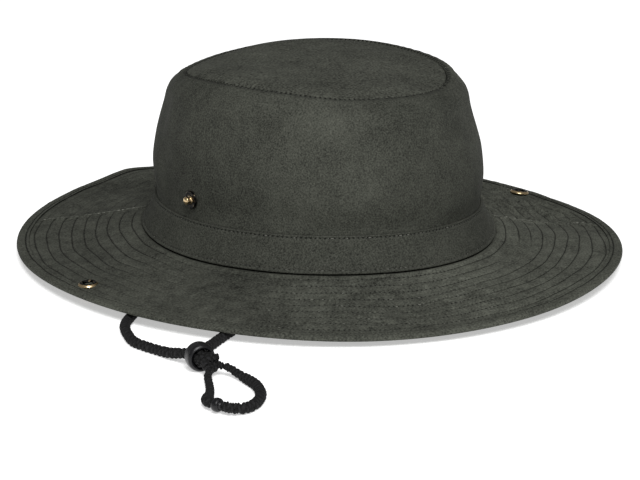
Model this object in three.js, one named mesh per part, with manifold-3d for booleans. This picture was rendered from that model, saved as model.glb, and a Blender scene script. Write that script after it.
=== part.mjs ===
import * as THREE from 'three';
import { mergeVertices } from 'three/addons/utils/BufferGeometryUtils.js';
import Module from 'manifold-3d';

const wasm = await Module();
wasm.setup();

// A wide brimmed oilskin hat, lying on its brim with its chin cord laid out beside it.
// Millimetres. The front of the hat faces -Y, the wearer's right is -X, the floor is z = 0.

// Driving dimensions
const STEPS = 60;                 // facets round the hat
const GAP = 0.3;                  // air between touching pieces
const WALL = 1.8;                 // crown cloth, two layers
const BAND = 1.2;                 // folded strip sewn round the crown
const BRIM = 1.8;                 // quilted brim cloth
const EDGE = 2.6;                 // bound edge of the brim, with the cloth folded in it
const EDGE_WIDTH = 6.6;
const EDGE_ROUND = 0.9;
const FOOT = 5.0;                 // level part of the bound edge's underside
const RIM_SIDE = 169.1;           // half of the brim's width, along X
const RIM_FRONT = 182.4;          // half of the brim's length, along Y
const DOME = 6.6;                 // rise of the crown's top above its seam
const SNAP_INSET = 12.4;          // snap centre to the rim
const STUD_LEVEL = 1.15;          // crown stud's height, as a level of the crown table
const STUD_SEAT = 87.4;           // the crown's outer half width at that level
const CORD = 4.8;                 // braided cord's thickness
const CORD_SIDES = 10;
const CORD_STEP = 12;             // length of one facet of the cord

// Heights round the hat, one row every 30 degrees from the wearer's left towards the back:
// the brim's underside at its edge, the join of brim and crown, the band's top and the seam
// of the crown's top. The edge is on the floor where it isn't above zero.
const STATIONS = [
  { angle: 0, rim: -0.3, join: 16.6, band: 33.4, seam: 105.8 },
  { angle: 30, rim: 0.6, join: 16.5, band: 34.9, seam: 106.5 },
  { angle: 60, rim: -0.2, join: 16.0, band: 35.5, seam: 105.0 },
  { angle: 90, rim: 5.2, join: 15.5, band: 34.4, seam: 101.8 },
  { angle: 120, rim: 4.0, join: 14.8, band: 32.6, seam: 100.7 },
  { angle: 150, rim: 4.6, join: 14.1, band: 31.9, seam: 104.8 },
  { angle: 180, rim: 6.9, join: 14.4, band: 33.2, seam: 109.6 },
  { angle: 210, rim: 6.5, join: 16.4, band: 35.5, seam: 110.4 },
  { angle: 240, rim: 4.6, join: 17.5, band: 36.7, seam: 107.4 },
  { angle: 270, rim: 5.6, join: 16.8, band: 35.8, seam: 105.5 },
  { angle: 300, rim: 6.9, join: 16.0, band: 33.8, seam: 103.4 },
  { angle: 330, rim: 3.9, join: 17.0, band: 32.7, seam: 105.1 },
];

// Outline of the crown from the brim up. Level 0 is the join, 1 the band's top and 2 the seam
// of the top; side and front are half of the outer width and length there.
const BAND_ROWS = [
  { level: 0, side: 95.7, front: 111.7 },
  { level: 0.3, side: 92.6, front: 108.4 },
  { level: 0.65, side: 89.8, front: 105.5 },
  { level: 1, side: 88.4, front: 104.0 },
];
const CROWN_ROWS = [
  { level: 0, side: 94.2, front: 110.2 },
  { level: 0.3, side: 91.1, front: 106.9 },
  { level: 0.65, side: 88.3, front: 104.0 },
  { level: 1.03, side: 86.7, front: 102.4 },
  { level: 1.25, side: 87.8, front: 103.5 },
  { level: 1.42, side: 87.1, front: 102.7 },
  { level: 1.59, side: 84.9, front: 100.2 },
  { level: 1.76, side: 82.1, front: 96.9 },
  { level: 1.92, side: 78.9, front: 92.6 },
  { level: 1.965, side: 75.4, front: 87.6 },
  { level: 1.995, side: 73.9, front: 85.0 },
  { level: 2, side: 69.9, front: 80.1 },
];

// The top from its seam to its middle: share of the seam's radius, share of the dome's rise.
const TOP_ROWS = [
  { reach: 1, rise: 0 },
  { reach: 0.86, rise: 0.44 },
  { reach: 0.6, rise: 0.71 },
  { reach: 0.3, rise: 0.88 },
];

// The brim from the crown out: share of the way to the rim, and its sag below a straight line.
const BRIM_ROWS = [
  { reach: 0, sag: 0 },
  { reach: 0.14, sag: 0.7 },
  { reach: 0.34, sag: 1.3 },
  { reach: 0.58, sag: 1.2 },
  { reach: 0.8, sag: 0.6 },
];

// Half profiles of the turned pieces: radius and height above the cloth.
const SOCKET = [[0, 0], [5.7, 0], [5.7, 0.6], [4.9, 1.5], [3.9, 1.9], [3.0, 1.5], [2.8, 0.7], [0, 0.7]];
const STUD = [
  [0, 0], [5.2, 0], [5.2, 0.5], [4.4, 1.1], [2.3, 1.1], [1.7, 1.6], [1.6, 2.6], [2.1, 3.2], [1.9, 4.0],
  [1.1, 4.6], [0, 4.8],
];
const CAP = [[0, 0], [5.4, 0], [5.2, 0.5], [3.6, 0.9], [0, 1.1]];

// Route of the chin cord, as middle points. It hangs from two tabs inside the crown, lies on
// the floor under the brim and runs through the slider to a loop with a bead.
const SHORT_STRAND = [
  [-83.5, 0, 14.5], [-83.5, 0, 12], [-85, -0.7, 8.2], [-88.6, -2.4, 5], [-94.5, -5, 3], [-102, -9, 2.5],
  [-125, -22, 2.5], [-145, -33.5, 2.5], [-156.1, -41.4, 2.5], [-168.6, -53.3, 2.5],
  [-176.2, -68.7, 2.5], [-178.9, -77.9, 2.5], [-178.2, -87.8, 2.5], [-176.5, -97.1, 2.6],
  [-175.6, -106, 3.6], [-174.4, -113.5, 5.3], [-173.5, -118.9, 6.3], [-174.2, -122, 6.6],
];
const LONG_STRAND = [
  [83.5, 0, 14.5], [83.5, 0, 12], [82.1, -0.6, 8.2], [78.6, -2.2, 5], [73, -4.7, 3], [65, -8.3, 2.5],
  [30, -24, 2.5], [-10, -42, 2.5], [-50, -60, 2.5], [-90, -78, 2.5], [-120, -91, 2.5],
  [-136.4, -98.6, 2.5], [-151.1, -106.8, 2.6], [-159.6, -112, 3.6], [-165, -116.3, 5.2],
  [-168, -120, 6.3], [-169.1, -123.3, 6.6],
];
const LOOP_OUT = [
  [-168.9, -143.3, 5.6], [-167.4, -145.2, 4.9], [-166.2, -150, 3.4], [-166.1, -156, 2.6], [-166.5, -161.2, 2.5],
  [-167.9, -169, 2.5], [-171.7, -177.5, 2.5], [-176.3, -183.7, 2.5], [-182, -188.4, 2.6],
  [-188, -191.3, 2.8], [-193.5, -191.8, 3.3], [-197.9, -189.4, 3.9], [-200.2, -185.6, 4.2],
];
const LOOP_BACK = [
  [-202, -179.4, 4.2], [-202.1, -177, 4.1], [-200.4, -173.2, 3.6], [-196.6, -168.6, 2.8], [-191.2, -162.4, 2.5], [-185.4, -153.7, 2.6],
  [-181.4, -146.8, 3.9], [-178, -143.3, 5.2],
];

// Pieces on the cord
const SLIDER = {
  outer: 7.3, hole: 4.9, length: 8, round: 1.4, chamfer: 0.8, front: [-174.1, -132, 7.3], heading: 254.4,
};
const KNOT = { neck: 4.55, overhang: 1, head: 5.6, headAhead: 6.2, headAside: 2.6, headDrop: 1.3 };
const BEAD = { radius: 4, round: 1.3, clear: 0.6 };

// Finishes
const oilskin = { color: 0x41433d, roughness: 0.75, metalness: 0 };
const brass = { color: 0x6e6049, roughness: 0.4, metalness: 1 };
const braid = { color: 0x16171a, roughness: 0.85, metalness: 0 };
const plastic = { color: 0x1b1c1f, roughness: 0.45, metalness: 0 };

const hat = new THREE.Group();
const radians = THREE.MathUtils.degToRad;

function addPiece(name, geometry, finish) {
  const mesh = new THREE.Mesh(geometry, new THREE.MeshStandardMaterial(finish));
  mesh.name = name;
  hat.add(mesh);
  return mesh;
}

// A named height at any angle: a smooth closed curve through the rows of the table.
function heightAt(column, angle) {
  const count = STATIONS.length;
  const place = (((angle % 360) + 360) % 360) / 360 * count;
  const row = Math.floor(place);
  const t = place - row;
  const [before, from, to, after] = [-1, 0, 1, 2].map((k) => STATIONS[(row + k + count) % count][column]);
  const slopeFrom = (to - before) / 2;
  const slopeTo = (after - from) / 2;
  const bend = (2 * from - 2 * to + slopeFrom + slopeTo) * t ** 3;
  return bend + (3 * to - 3 * from - 2 * slopeFrom - slopeTo) * t ** 2 + slopeFrom * t + from;
}

const rimHeight = (angle) => Math.max(0, heightAt('rim', angle));

// Height of a level of the crown: 0 to 1 on the band, 1 to 2 from its top to the seam.
function levelHeight(level, angle) {
  const band = heightAt('band', angle);
  if (level <= 1) return THREE.MathUtils.lerp(heightAt('join', angle), band, level);
  return THREE.MathUtils.lerp(band, heightAt('seam', angle), level - 1);
}

function onEllipse({ side, front, z }, angle) {
  return new THREE.Vector3(side * Math.cos(radians(angle)), front * Math.sin(radians(angle)), z);
}

// The inner face of a cloth wall: each row moved in along the wall's normal, the first row
// straight in and the last straight down, so that the wall's ends are level and upright.
function innerFace(rows, thickness) {
  return rows.map((row, i) => {
    const before = rows[Math.max(0, i - 1)];
    const after = rows[Math.min(rows.length - 1, i + 1)];
    let normal = new THREE.Vector2(after.z - before.z, before.side - after.side).normalize();
    if (i === 0) normal = new THREE.Vector2(1, 0);
    if (i === rows.length - 1) normal = new THREE.Vector2(0, 1);
    return {
      side: row.side - normal.x * thickness,
      front: row.front - normal.x * thickness,
      z: row.z - normal.y * thickness,
    };
  });
}

function geometryFrom(points, faces) {
  const geometry = new THREE.BufferGeometry();
  geometry.setAttribute('position', new THREE.Float32BufferAttribute(points.flatMap((p) => p.toArray()), 3));
  geometry.setIndex(faces.flat());
  geometry.computeVertexNormals();
  return geometry;
}

// A closed ring: the section's outline, counter-clockwise when seen along the turning
// direction with the outside at the right, carried once round the hat.
function ringOf(sectionAt) {
  const points = [];
  const faces = [];
  for (let i = 0; i < STEPS; i += 1) {
    const angle = (360 * i) / STEPS;
    sectionAt(angle).forEach((corner) => points.push(onEllipse(corner, angle)));
  }
  const size = points.length / STEPS;
  for (let i = 0; i < STEPS; i += 1) {
    const here = i * size;
    const next = ((i + 1) % STEPS) * size;
    for (let j = 0; j < size; j += 1) {
      const k = (j + 1) % size;
      faces.push([here + j, next + j, next + k], [here + j, next + k, here + k]);
    }
  }
  return geometryFrom(points, faces);
}

const atLevels = (rows, angle) => rows.map((row) => ({ ...row, z: levelHeight(row.level, angle) }));

function wallSection(angle) {
  const outer = atLevels(CROWN_ROWS, angle);
  return [...outer, ...innerFace(outer, WALL).reverse()];
}

function bandSection(angle) {
  const outer = atLevels(BAND_ROWS, angle);
  const inner = outer.map((row) => ({ ...row, side: row.side - BAND, front: row.front - BAND }));
  return [...outer, ...inner.reverse()];
}

// Top face of the brim at a share of the way from the crown to the rim.
function brimTop(reach, sag, angle) {
  const join = heightAt('join', angle) - GAP;
  const rim = rimHeight(angle) + EDGE - 2 * GAP;
  const start = BAND_ROWS[0];
  return {
    side: THREE.MathUtils.lerp(start.side, RIM_SIDE, reach),
    front: THREE.MathUtils.lerp(start.front, RIM_FRONT, reach),
    z: THREE.MathUtils.lerp(join, rim, reach) - sag,
  };
}

function brimSection(angle) {
  const crown = CROWN_ROWS[0];
  const throat = { side: crown.side - WALL, front: crown.front - WALL, z: heightAt('join', angle) - GAP };
  const last = brimTop(1, 0, angle);
  const rows = BRIM_ROWS.map(({ reach, sag }) => brimTop(reach, sag, angle));
  const slope = (rows.at(-1).z - last.z) / (last.side - rows.at(-1).side);
  const edge = {
    side: RIM_SIDE - EDGE_WIDTH - GAP,
    front: RIM_FRONT - EDGE_WIDTH - GAP,
    z: last.z + slope * (EDGE_WIDTH + GAP),
  };
  const top = [throat, ...rows, edge];
  const under = top.map((row) => ({ ...row, z: row.z - BRIM }));
  return [...under, ...top.reverse()];
}

function edgeSection(angle) {
  const floor = rimHeight(angle);
  const [under, , ] = brimSection(angle).filter(({ side }) => side === RIM_SIDE - EDGE_WIDTH - GAP);
  const at = (inset, z) => ({ side: RIM_SIDE - inset, front: RIM_FRONT - inset, z });
  return [
    at(EDGE_WIDTH, under.z - GAP),
    at(FOOT, floor),
    at(EDGE_ROUND, floor),
    at(0, floor + EDGE / 2),
    at(EDGE_ROUND, floor + EDGE),
    at(EDGE_WIDTH, under.z + BRIM + GAP),
  ];
}

// The crown's top: rings of points from the seam to one middle point, above and below.
function topGeometry() {
  const seam = CROWN_ROWS.at(-1);
  const mean = STATIONS.reduce((sum, row) => sum + row.seam, 0) / STATIONS.length;
  const points = [];
  const faces = [];
  [0, WALL].forEach((drop) => {
    TOP_ROWS.forEach(({ reach, rise }) => {
      for (let i = 0; i < STEPS; i += 1) {
        const angle = (360 * i) / STEPS;
        const z = THREE.MathUtils.lerp(mean, heightAt('seam', angle), reach) + DOME * rise - drop;
        points.push(onEllipse({ side: (seam.side - GAP) * reach, front: (seam.front - GAP) * reach, z }, angle));
      }
    });
    points.push(new THREE.Vector3(0, 0, mean + DOME - drop));
  });
  const shell = TOP_ROWS.length * STEPS + 1;
  const at = (side, ring, i) => side * shell + ring * STEPS + (i % STEPS);
  for (let i = 0; i < STEPS; i += 1) {
    for (let ring = 0; ring < TOP_ROWS.length - 1; ring += 1) {
      faces.push([at(0, ring, i), at(0, ring, i + 1), at(0, ring + 1, i + 1)]);
      faces.push([at(0, ring, i), at(0, ring + 1, i + 1), at(0, ring + 1, i)]);
      faces.push([at(1, ring, i), at(1, ring + 1, i + 1), at(1, ring, i + 1)]);
      faces.push([at(1, ring, i), at(1, ring + 1, i), at(1, ring + 1, i + 1)]);
    }
    const inner = TOP_ROWS.length - 1;
    faces.push([at(0, inner, i), at(0, inner, i + 1), shell - 1]);
    faces.push([at(1, inner, i + 1), at(1, inner, i), 2 * shell - 1]);
    faces.push([at(0, 0, i), at(1, 0, i), at(1, 0, i + 1)], [at(0, 0, i), at(1, 0, i + 1), at(0, 0, i + 1)]);
  }
  return geometryFrom(points, faces);
}

function turned(profile, sides = 20) {
  return new THREE.LatheGeometry(profile.map(([r, z]) => new THREE.Vector2(r, z)), sides).rotateX(Math.PI / 2);
}

// Lays a turned piece at a point with its axis along a direction.
function place(mesh, point, axis) {
  mesh.position.copy(point);
  mesh.quaternion.setFromUnitVectors(new THREE.Vector3(0, 0, 1), axis.clone().normalize());
}

function addSnaps(name, angle, sideways) {
  const reach = (RIM_SIDE - SNAP_INSET - BAND_ROWS[0].side) / (RIM_SIDE - BAND_ROWS[0].side);
  const lastRow = BRIM_ROWS.at(-1);
  const inner = onEllipse(brimTop(lastRow.reach, lastRow.sag, angle), angle);
  const outer = onEllipse(brimTop(1, 0, angle), angle);
  const spot = inner.clone().lerp(outer, (reach - lastRow.reach) / (1 - lastRow.reach));
  const along = outer.clone().sub(inner).normalize();
  const up = along.clone().cross(new THREE.Vector3(0, 1, 0)).multiplyScalar(sideways).normalize();
  const socket = addPiece(`snap_socket_${name}`, turned(SOCKET), brass);
  place(socket, spot.clone().addScaledVector(up, GAP), up);
  const socketCap = addPiece(`snap_cap_${name}`, turned(CAP), brass);
  place(socketCap, spot.clone().addScaledVector(up, -BRIM - GAP), up.clone().negate());

  const wall = onEllipse({ side: STUD_SEAT, front: 0, z: levelHeight(STUD_LEVEL, angle) }, angle);
  const out = new THREE.Vector3(Math.cos(radians(angle)), 0, 0).normalize();
  const stud = addPiece(`snap_stud_${name}`, turned(STUD), brass);
  place(stud, wall.clone().addScaledVector(out, GAP), out);
  const studCap = addPiece(`stud_cap_${name}`, turned(CAP), brass);
  place(studCap, wall.clone().addScaledVector(out, -WALL - 2 * GAP), out.clone().negate());
}

// A cord: a round section of flats carried along a smooth curve through the route.
function cordGeometry(route) {
  const curve = new THREE.CatmullRomCurve3(route.map((p) => new THREE.Vector3(...p)), false, 'centripetal');
  const section = new THREE.Shape();
  for (let i = 0; i < CORD_SIDES; i += 1) {
    const turn = (2 * Math.PI * (i + 0.5)) / CORD_SIDES;
    const [x, y] = [Math.cos(turn), Math.sin(turn)].map((c) => (c * CORD) / 2);
    if (i === 0) section.moveTo(x, y);
    else section.lineTo(x, y);
  }
  section.closePath();
  const steps = Math.round(curve.getLength() / CORD_STEP);
  return new THREE.ExtrudeGeometry(section, { steps: Math.max(steps, 5), bevelEnabled: false, extrudePath: curve });
}

function solidOf(geometry) {
  const bare = geometry.clone();
  bare.deleteAttribute('normal');
  bare.deleteAttribute('uv');
  const merged = mergeVertices(bare, 1e-4);
  return new wasm.Manifold(new wasm.Mesh({
    numProp: 3,
    vertProperties: new Float32Array(merged.attributes.position.array),
    triVerts: new Uint32Array(merged.index.array),
  }));
}

function geometryOf(solid) {
  const { vertProperties, triVerts } = solid.getMesh();
  const geometry = new THREE.BufferGeometry();
  geometry.setAttribute('position', new THREE.BufferAttribute(new Float32Array(vertProperties), 3));
  geometry.setIndex(new THREE.BufferAttribute(new Uint32Array(triVerts), 1));
  geometry.computeVertexNormals();
  return geometry;
}

// Slider, knot and bead. The slider stands on its round side with its hole facing along the
// heading; the knot's neck fills the hole and its head sits in front, a little to one side.
function addCordPieces() {
  const { outer, hole, length, round, chamfer, front, heading } = SLIDER;
  const ahead = new THREE.Vector3(Math.cos(radians(heading)), Math.sin(radians(heading)), 0);
  const aside = new THREE.Vector3(-ahead.y, ahead.x, 0);
  const face = new THREE.Vector3(...front);
  const slider = addPiece('cord_slider', turned([
    [hole, chamfer], [hole + chamfer, 0], [outer - round, 0], [outer, round],
    [outer, length - round], [outer - round, length], [hole + chamfer, length],
    [hole, length - chamfer], [hole, chamfer],
  ]), plastic);
  place(slider, face.clone().addScaledVector(ahead, -length), ahead);

  const neckLength = length + KNOT.overhang + KNOT.headAhead;
  const neck = turned([[0, 0], [KNOT.neck, 0], [KNOT.neck, neckLength], [0, neckLength]], 14);
  const pose = new THREE.Quaternion().setFromUnitVectors(new THREE.Vector3(0, 0, 1), ahead);
  neck.applyQuaternion(pose);
  const neckStart = face.clone().addScaledVector(ahead, -length - KNOT.overhang);
  neck.translate(...neckStart.toArray());
  const head = new THREE.SphereGeometry(KNOT.head, 14, 9);
  const headSpot = face.clone().addScaledVector(ahead, KNOT.headAhead).addScaledVector(aside, KNOT.headAside);
  head.translate(headSpot.x, headSpot.y, headSpot.z - KNOT.headDrop);
  addPiece('cord_knot', geometryOf(solidOf(neck).add(solidOf(head))), braid);

  const { radius, round: bevel, clear } = BEAD;
  const [from, to] = [LOOP_OUT.at(-1), LOOP_BACK[0]].map((p) => new THREE.Vector3(...p));
  const axis = to.clone().sub(from);
  const span = axis.length() - 2 * clear;
  const bead = addPiece('cord_bead', turned([
    [0, 0], [radius - bevel, 0], [radius, bevel], [radius, span - bevel], [radius - bevel, span], [0, span],
  ], 16), plastic);
  place(bead, from.addScaledVector(axis.normalize(), clear), axis);
}

function addCordTab(name, side) {
  const tab = new THREE.BoxGeometry(3.4, 12, 15);
  tab.translate(side * 83.5, 0, 22.5);
  addPiece(`cord_tab_${name}`, tab, oilskin);
}

addPiece('crown_top', topGeometry(), oilskin);
addPiece('crown_wall', ringOf(wallSection), oilskin);
addPiece('crown_band', ringOf(bandSection), oilskin);
addPiece('brim', ringOf(brimSection), oilskin);
addPiece('brim_edge', ringOf(edgeSection), oilskin);
addSnaps('right', 180, -1);
addSnaps('left', 0, 1);
addCordTab('right', -1);
addCordTab('left', 1);
addPiece('cord_strand_short', cordGeometry(SHORT_STRAND), braid);
addPiece('cord_strand_long', cordGeometry(LONG_STRAND), braid);
addPiece('cord_loop_out', cordGeometry(LOOP_OUT), braid);
addPiece('cord_loop_back', cordGeometry(LOOP_BACK), braid);
addCordPieces();

export default hat;
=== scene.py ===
"""Oilskin hat with a stitched brim and a braided chin cord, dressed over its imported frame.

Shapes are worked out in millimetres, in the frame's own axes: the front of the hat faces -Y, the
wearer's left is +X and the hat lies on its brim at height 0. MM turns them into metres.
"""
import logging
import math
from dataclasses import Field, dataclass, field
from enum import Enum
from typing import Callable, NamedTuple, Sequence

import bpy
import numpy as np
from mathutils import Matrix, Vector


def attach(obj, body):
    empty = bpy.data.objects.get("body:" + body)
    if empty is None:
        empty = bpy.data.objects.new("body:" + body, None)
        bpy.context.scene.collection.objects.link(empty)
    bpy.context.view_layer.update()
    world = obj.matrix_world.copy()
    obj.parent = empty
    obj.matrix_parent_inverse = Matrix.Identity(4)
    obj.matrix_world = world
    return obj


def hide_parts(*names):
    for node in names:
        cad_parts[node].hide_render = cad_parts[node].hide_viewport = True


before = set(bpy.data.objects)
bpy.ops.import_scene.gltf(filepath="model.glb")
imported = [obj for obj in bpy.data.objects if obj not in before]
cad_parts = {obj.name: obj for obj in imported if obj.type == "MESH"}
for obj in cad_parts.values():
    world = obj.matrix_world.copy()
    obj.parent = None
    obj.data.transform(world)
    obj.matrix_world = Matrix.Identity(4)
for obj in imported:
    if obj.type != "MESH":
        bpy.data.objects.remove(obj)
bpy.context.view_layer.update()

log = logging.getLogger("oilskin_hat")

MM = 0.001
TAU = 2 * math.pi
UP = np.array([0.0, 0.0, 1.0])
FAR = 9.0  # a distance in millimetres that no stitch line's shade reaches

Colour = tuple[float, float, float]
Profile = Sequence[tuple[float, float]]  # radius and height of the corners of a turned shape
Route = Sequence[tuple[float, float, float]]
PointsAt = Callable[[np.ndarray, float], np.ndarray]  # turns and a step aside to points on the cloth


# Tables of the hat's form

class Station(NamedTuple):
    """Heights of the hat's four rings at one angle round the crown."""

    angle: float
    rim: float
    join: float
    band: float
    seam: float


class WallRow(NamedTuple):
    """Half widths of the crown at one level: 0 brim, 1 top of the band, 2 top seam."""

    level: float
    side: float
    front: float


class Panel(NamedTuple):
    """How the brim's cloth is quilted at one compass angle.

    Groove and pucker are depths, slant and pitch shape the puckers, line and dots say how dark
    the painted shade along the rows and in their needle holes is, rise is the height of the
    stitches, and fade is half of the cloth's lightness: painted light and shade round the brim.
    """

    angle: float
    groove: float
    pucker: float
    slant: float
    pitch: float
    line: float
    dots: float
    rise: float
    fade: float


class Shade(NamedTuple):
    """How dark the painted shade along a cloth's lines and in its needle holes is at one compass angle, and
    fade, its painted light and shade there; 0.5 is its full colour.
    """

    angle: float
    line: float
    dots: float
    fade: float


class RadialSeam(NamedTuple):
    """A seam across the brim: its compass angle at the band, how much more it is at the edge, and
    the way round from it to the back of the hat, +1 or -1."""

    compass: float
    slant: float
    way: int


STATIONS = (
    Station(0, -0.3, 16.6, 33.4, 105.8),
    Station(30, 0.6, 16.5, 34.9, 106.5),
    Station(60, -0.2, 16.0, 35.5, 105.0),
    Station(90, 5.2, 15.5, 34.4, 101.8),
    Station(120, 4.0, 14.8, 32.6, 100.7),
    Station(150, 4.6, 14.1, 31.9, 104.8),
    Station(180, 6.9, 14.4, 33.2, 109.6),
    Station(210, 6.5, 16.4, 35.5, 110.4),
    Station(240, 4.6, 17.5, 36.7, 107.4),
    Station(270, 5.6, 16.8, 35.8, 105.5),
    Station(300, 6.9, 16.0, 33.8, 103.4),
    Station(330, 3.9, 17.0, 32.7, 105.1),
)
CROWN_ROWS = (
    WallRow(0, 94.2, 110.2),
    WallRow(0.3, 91.1, 106.9),
    WallRow(0.65, 88.3, 104.0),
    WallRow(1.03, 86.7, 102.4),
    WallRow(1.25, 87.8, 103.5),
    WallRow(1.42, 87.1, 102.7),
    WallRow(1.59, 84.9, 100.2),
    WallRow(1.76, 82.1, 96.9),
    WallRow(1.84, 81.0, 95.4),
    WallRow(1.9, 79.3, 93.1),
    WallRow(1.94, 77.3, 90.3),
    WallRow(1.965, 75.4, 87.7),
    WallRow(1.995, 73.8, 84.9),
    WallRow(2, 69.9, 80.1),
)
BAND_ROWS = (
    WallRow(0, 95.7, 111.7),
    WallRow(0.3, 92.6, 108.4),
    WallRow(0.65, 89.8, 105.5),
    WallRow(1, 88.4, 104.0),
)
# The fade column of the panels is painted light and shade: the brim is lighter towards the front right, where
# the light falls, and darker to the left.
PANELS = (
    Panel(20, 0.36, 0.80, 1.8, 7.0, 0.75, 0.5, -0.16, 0.52),
    Panel(60, 0.28, 0.34, 0.7, 6.0, 0.60, 0.5, -0.16, 0.50),
    Panel(108, 0.12, 0.16, 0.4, 5.0, 0.20, 0.3, -0.22, 0.42),
    Panel(126.5, 0.12, 0.16, 0.2, 5.0, 0.20, 0.3, -0.22, 0.42),
    Panel(128.5, 0.34, 0.08, 0.0, 5.0, 0.90, 0.6, -0.26, 0.45),
    Panel(168, 0.32, 0.12, 0.0, 5.0, 0.85, 0.7, -0.26, 0.46),
    Panel(184, 0.14, 0.18, 0.3, 5.0, 0.26, 0.4, -0.24, 0.46),
    Panel(200, 0.04, 0.20, 0.5, 5.0, 0.02, 0.1, -0.24, 0.45),
    Panel(214, 0.07, 0.40, 0.5, 5.6, 0.08, 0.3, -0.18, 0.45),
    Panel(230, 0.20, 0.70, 0.3, 5.6, 0.26, 1.0, 0.05, 0.51),
    Panel(256, 0.24, 0.80, 0.2, 5.6, 0.32, 1.0, 0.07, 0.56),
    Panel(267, 0.28, 0.42, 0.1, 5.6, 0.60, 1.0, 0.02, 0.65),
    Panel(280, 0.32, 0.08, 0.0, 5.0, 1.00, 0.3, -0.28, 0.62),
    Panel(326, 0.34, 0.05, 0.0, 5.0, 1.00, 0.2, -0.30, 0.58),
    Panel(331, 0.42, 1.40, 2.0, 7.0, 1.00, 0.3, -0.22, 0.53),
    Panel(352, 0.42, 1.30, 2.0, 7.0, 1.00, 0.4, -0.20, 0.52),
)
# The fade column of the crown's shades is painted light and shade: the cloth is lightened where the light
# falls and darkened where it turns away.
CROWN_SHADES = (
    Shade(60, 1, 1, 0.48),
    Shade(150, 1, 1, 0.44),
    Shade(185, 1, 1, 0.43),
    Shade(215, 1, 1, 0.47),
    Shade(238, 1, 1, 0.48),
    Shade(262, 1, 1, 0.43),
    Shade(288, 1, 1, 0.38),
    Shade(318, 1, 1, 0.56),
)
# The fade column of the hem's shades is painted light and shade in the same way; line and dots set the
# painted shade of its stitched line and inner lip.
HEM_SHADES = (
    Shade(20, 1, 1, 0.5),
    Shade(168, 1, 1, 0.47),
    Shade(190, 0.5, 0.6, 0.49),
    Shade(214, 0.15, 0.3, 0.49),
    Shade(256, 0.3, 0.8, 0.51),
    Shade(290, 0.9, 0.8, 0.55),
    Shade(340, 1, 1, 0.52),
)
SEAMS = (
    RadialSeam(123.4, 7.6, -1),
    RadialSeam(324.0, 4.8, 1),
)


class Side(Enum):
    """The wearer's sides, by the angle at which each is reached."""

    LEFT = 0
    RIGHT = 180

    @property
    def sign(self) -> int:
        """+1 towards the wearer's left and -1 towards the right."""
        return 1 if self is Side.LEFT else -1

    @property
    def word(self) -> str:
        """The side as it stands in the names of pieces."""
        return self.name.lower()


# Smooth curves and fields

def round_curve(values: np.ndarray, turn: np.ndarray) -> np.ndarray:
    """Closed cubic through values set evenly round the hat, its slopes half the step between neighbours.

    Args:
        values: one value for each station.
        turn: angles in radians.

    Returns:
        The curve's value at each angle.
    """
    count = len(values)
    place = np.mod(turn / TAU, 1.0) * count
    row = np.floor(place).astype(int)
    t = place - row
    before, start, end, after = (values[(row + k) % count] for k in (-1, 0, 1, 2))
    leaving, arriving = (end - before) / 2, (after - start) / 2
    bend = (2 * start - 2 * end + leaving + arriving) * t**3
    return bend + (3 * end - 3 * start - 2 * leaving - arriving) * t**2 + leaving * t + start


def row_curve(place: np.ndarray, places: Sequence[float], values: Sequence[float]) -> np.ndarray:
    """Cubic through the rows of a table that never overshoots them: each inner slope is the
    harmonic mean of the slopes on its two sides, or 0 at a turn.

    Args:
        place: where the value is wanted.
        places: the rows' places, rising.
        values: the rows' values.

    Returns:
        The value at each place.
    """
    xs, ys = np.asarray(places, float), np.asarray(values, float)
    gaps = np.diff(xs)
    steps = np.diff(ys) / gaps
    slopes = np.concatenate([steps[:1], np.zeros(len(xs) - 2), steps[-1:]])
    same = steps[:-1] * steps[1:] > 0
    total = np.where(same, steps[:-1] + steps[1:], 1.0)
    slopes[1:-1] = np.where(same, 2 * steps[:-1] * steps[1:] / total, 0.0)
    i = np.clip(np.searchsorted(xs, place, side="right") - 1, 0, len(xs) - 2)
    t = (place - xs[i]) / gaps[i]
    a, b, m, n = ys[i], ys[i + 1], slopes[i] * gaps[i], slopes[i + 1] * gaps[i]
    return a + t * (m + t * (3 * (b - a) - 2 * m - n + t * (2 * (a - b) + m + n)))


def unit(vectors: np.ndarray) -> np.ndarray:
    """Vectors of length one along the last axis."""
    return vectors / np.linalg.norm(vectors, axis=-1, keepdims=True)


def run_along(path: np.ndarray) -> np.ndarray:
    """Distance along a path at each of its points."""
    return np.concatenate([[0], np.cumsum(np.linalg.norm(np.diff(path, axis=0), axis=1))])


def compass_of(points: np.ndarray) -> np.ndarray:
    """Angle of points about the hat's middle, in degrees from 0 to 360."""
    return np.degrees(np.arctan2(points[..., 1], points[..., 0])) % 360


def bell(distance: np.ndarray, width: float) -> np.ndarray:
    """1 at no distance, falling to both sides as exp(-(distance / width) squared)."""
    return np.exp(-((distance / width) ** 2))


def climb(distance: np.ndarray, span: float) -> np.ndarray:
    """0 up to no distance, then straight up to 1 over the span."""
    return np.clip(distance / span, 0, 1)


class SoftField:
    """A smooth seeded field in space: the sum of plane waves in random directions, spread about 1."""

    def __init__(self, seed: int, wavelength: float, waves: int = 22) -> None:
        """Draws the waves.

        Args:
            seed: seed of the random draw.
            wavelength: typical size of a swell in millimetres.
            waves: number of plane waves.
        """
        draw = np.random.default_rng(seed)
        heading = unit(draw.normal(size=(waves, 3)))
        self.rates = heading * (TAU / (wavelength * draw.uniform(0.7, 1.5, (waves, 1))))
        self.phases = draw.uniform(0, TAU, waves)

    def __call__(self, points: np.ndarray) -> np.ndarray:
        """Value at each point: the mean of the waves' cosines, scaled to a spread of about 1."""
        flat = points.reshape(-1, 3)
        total = np.cos(flat @ self.rates.T + self.phases).sum(axis=1)
        return (total * math.sqrt(2 / len(self.phases))).reshape(points.shape[:-1])


# Meshes

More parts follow.
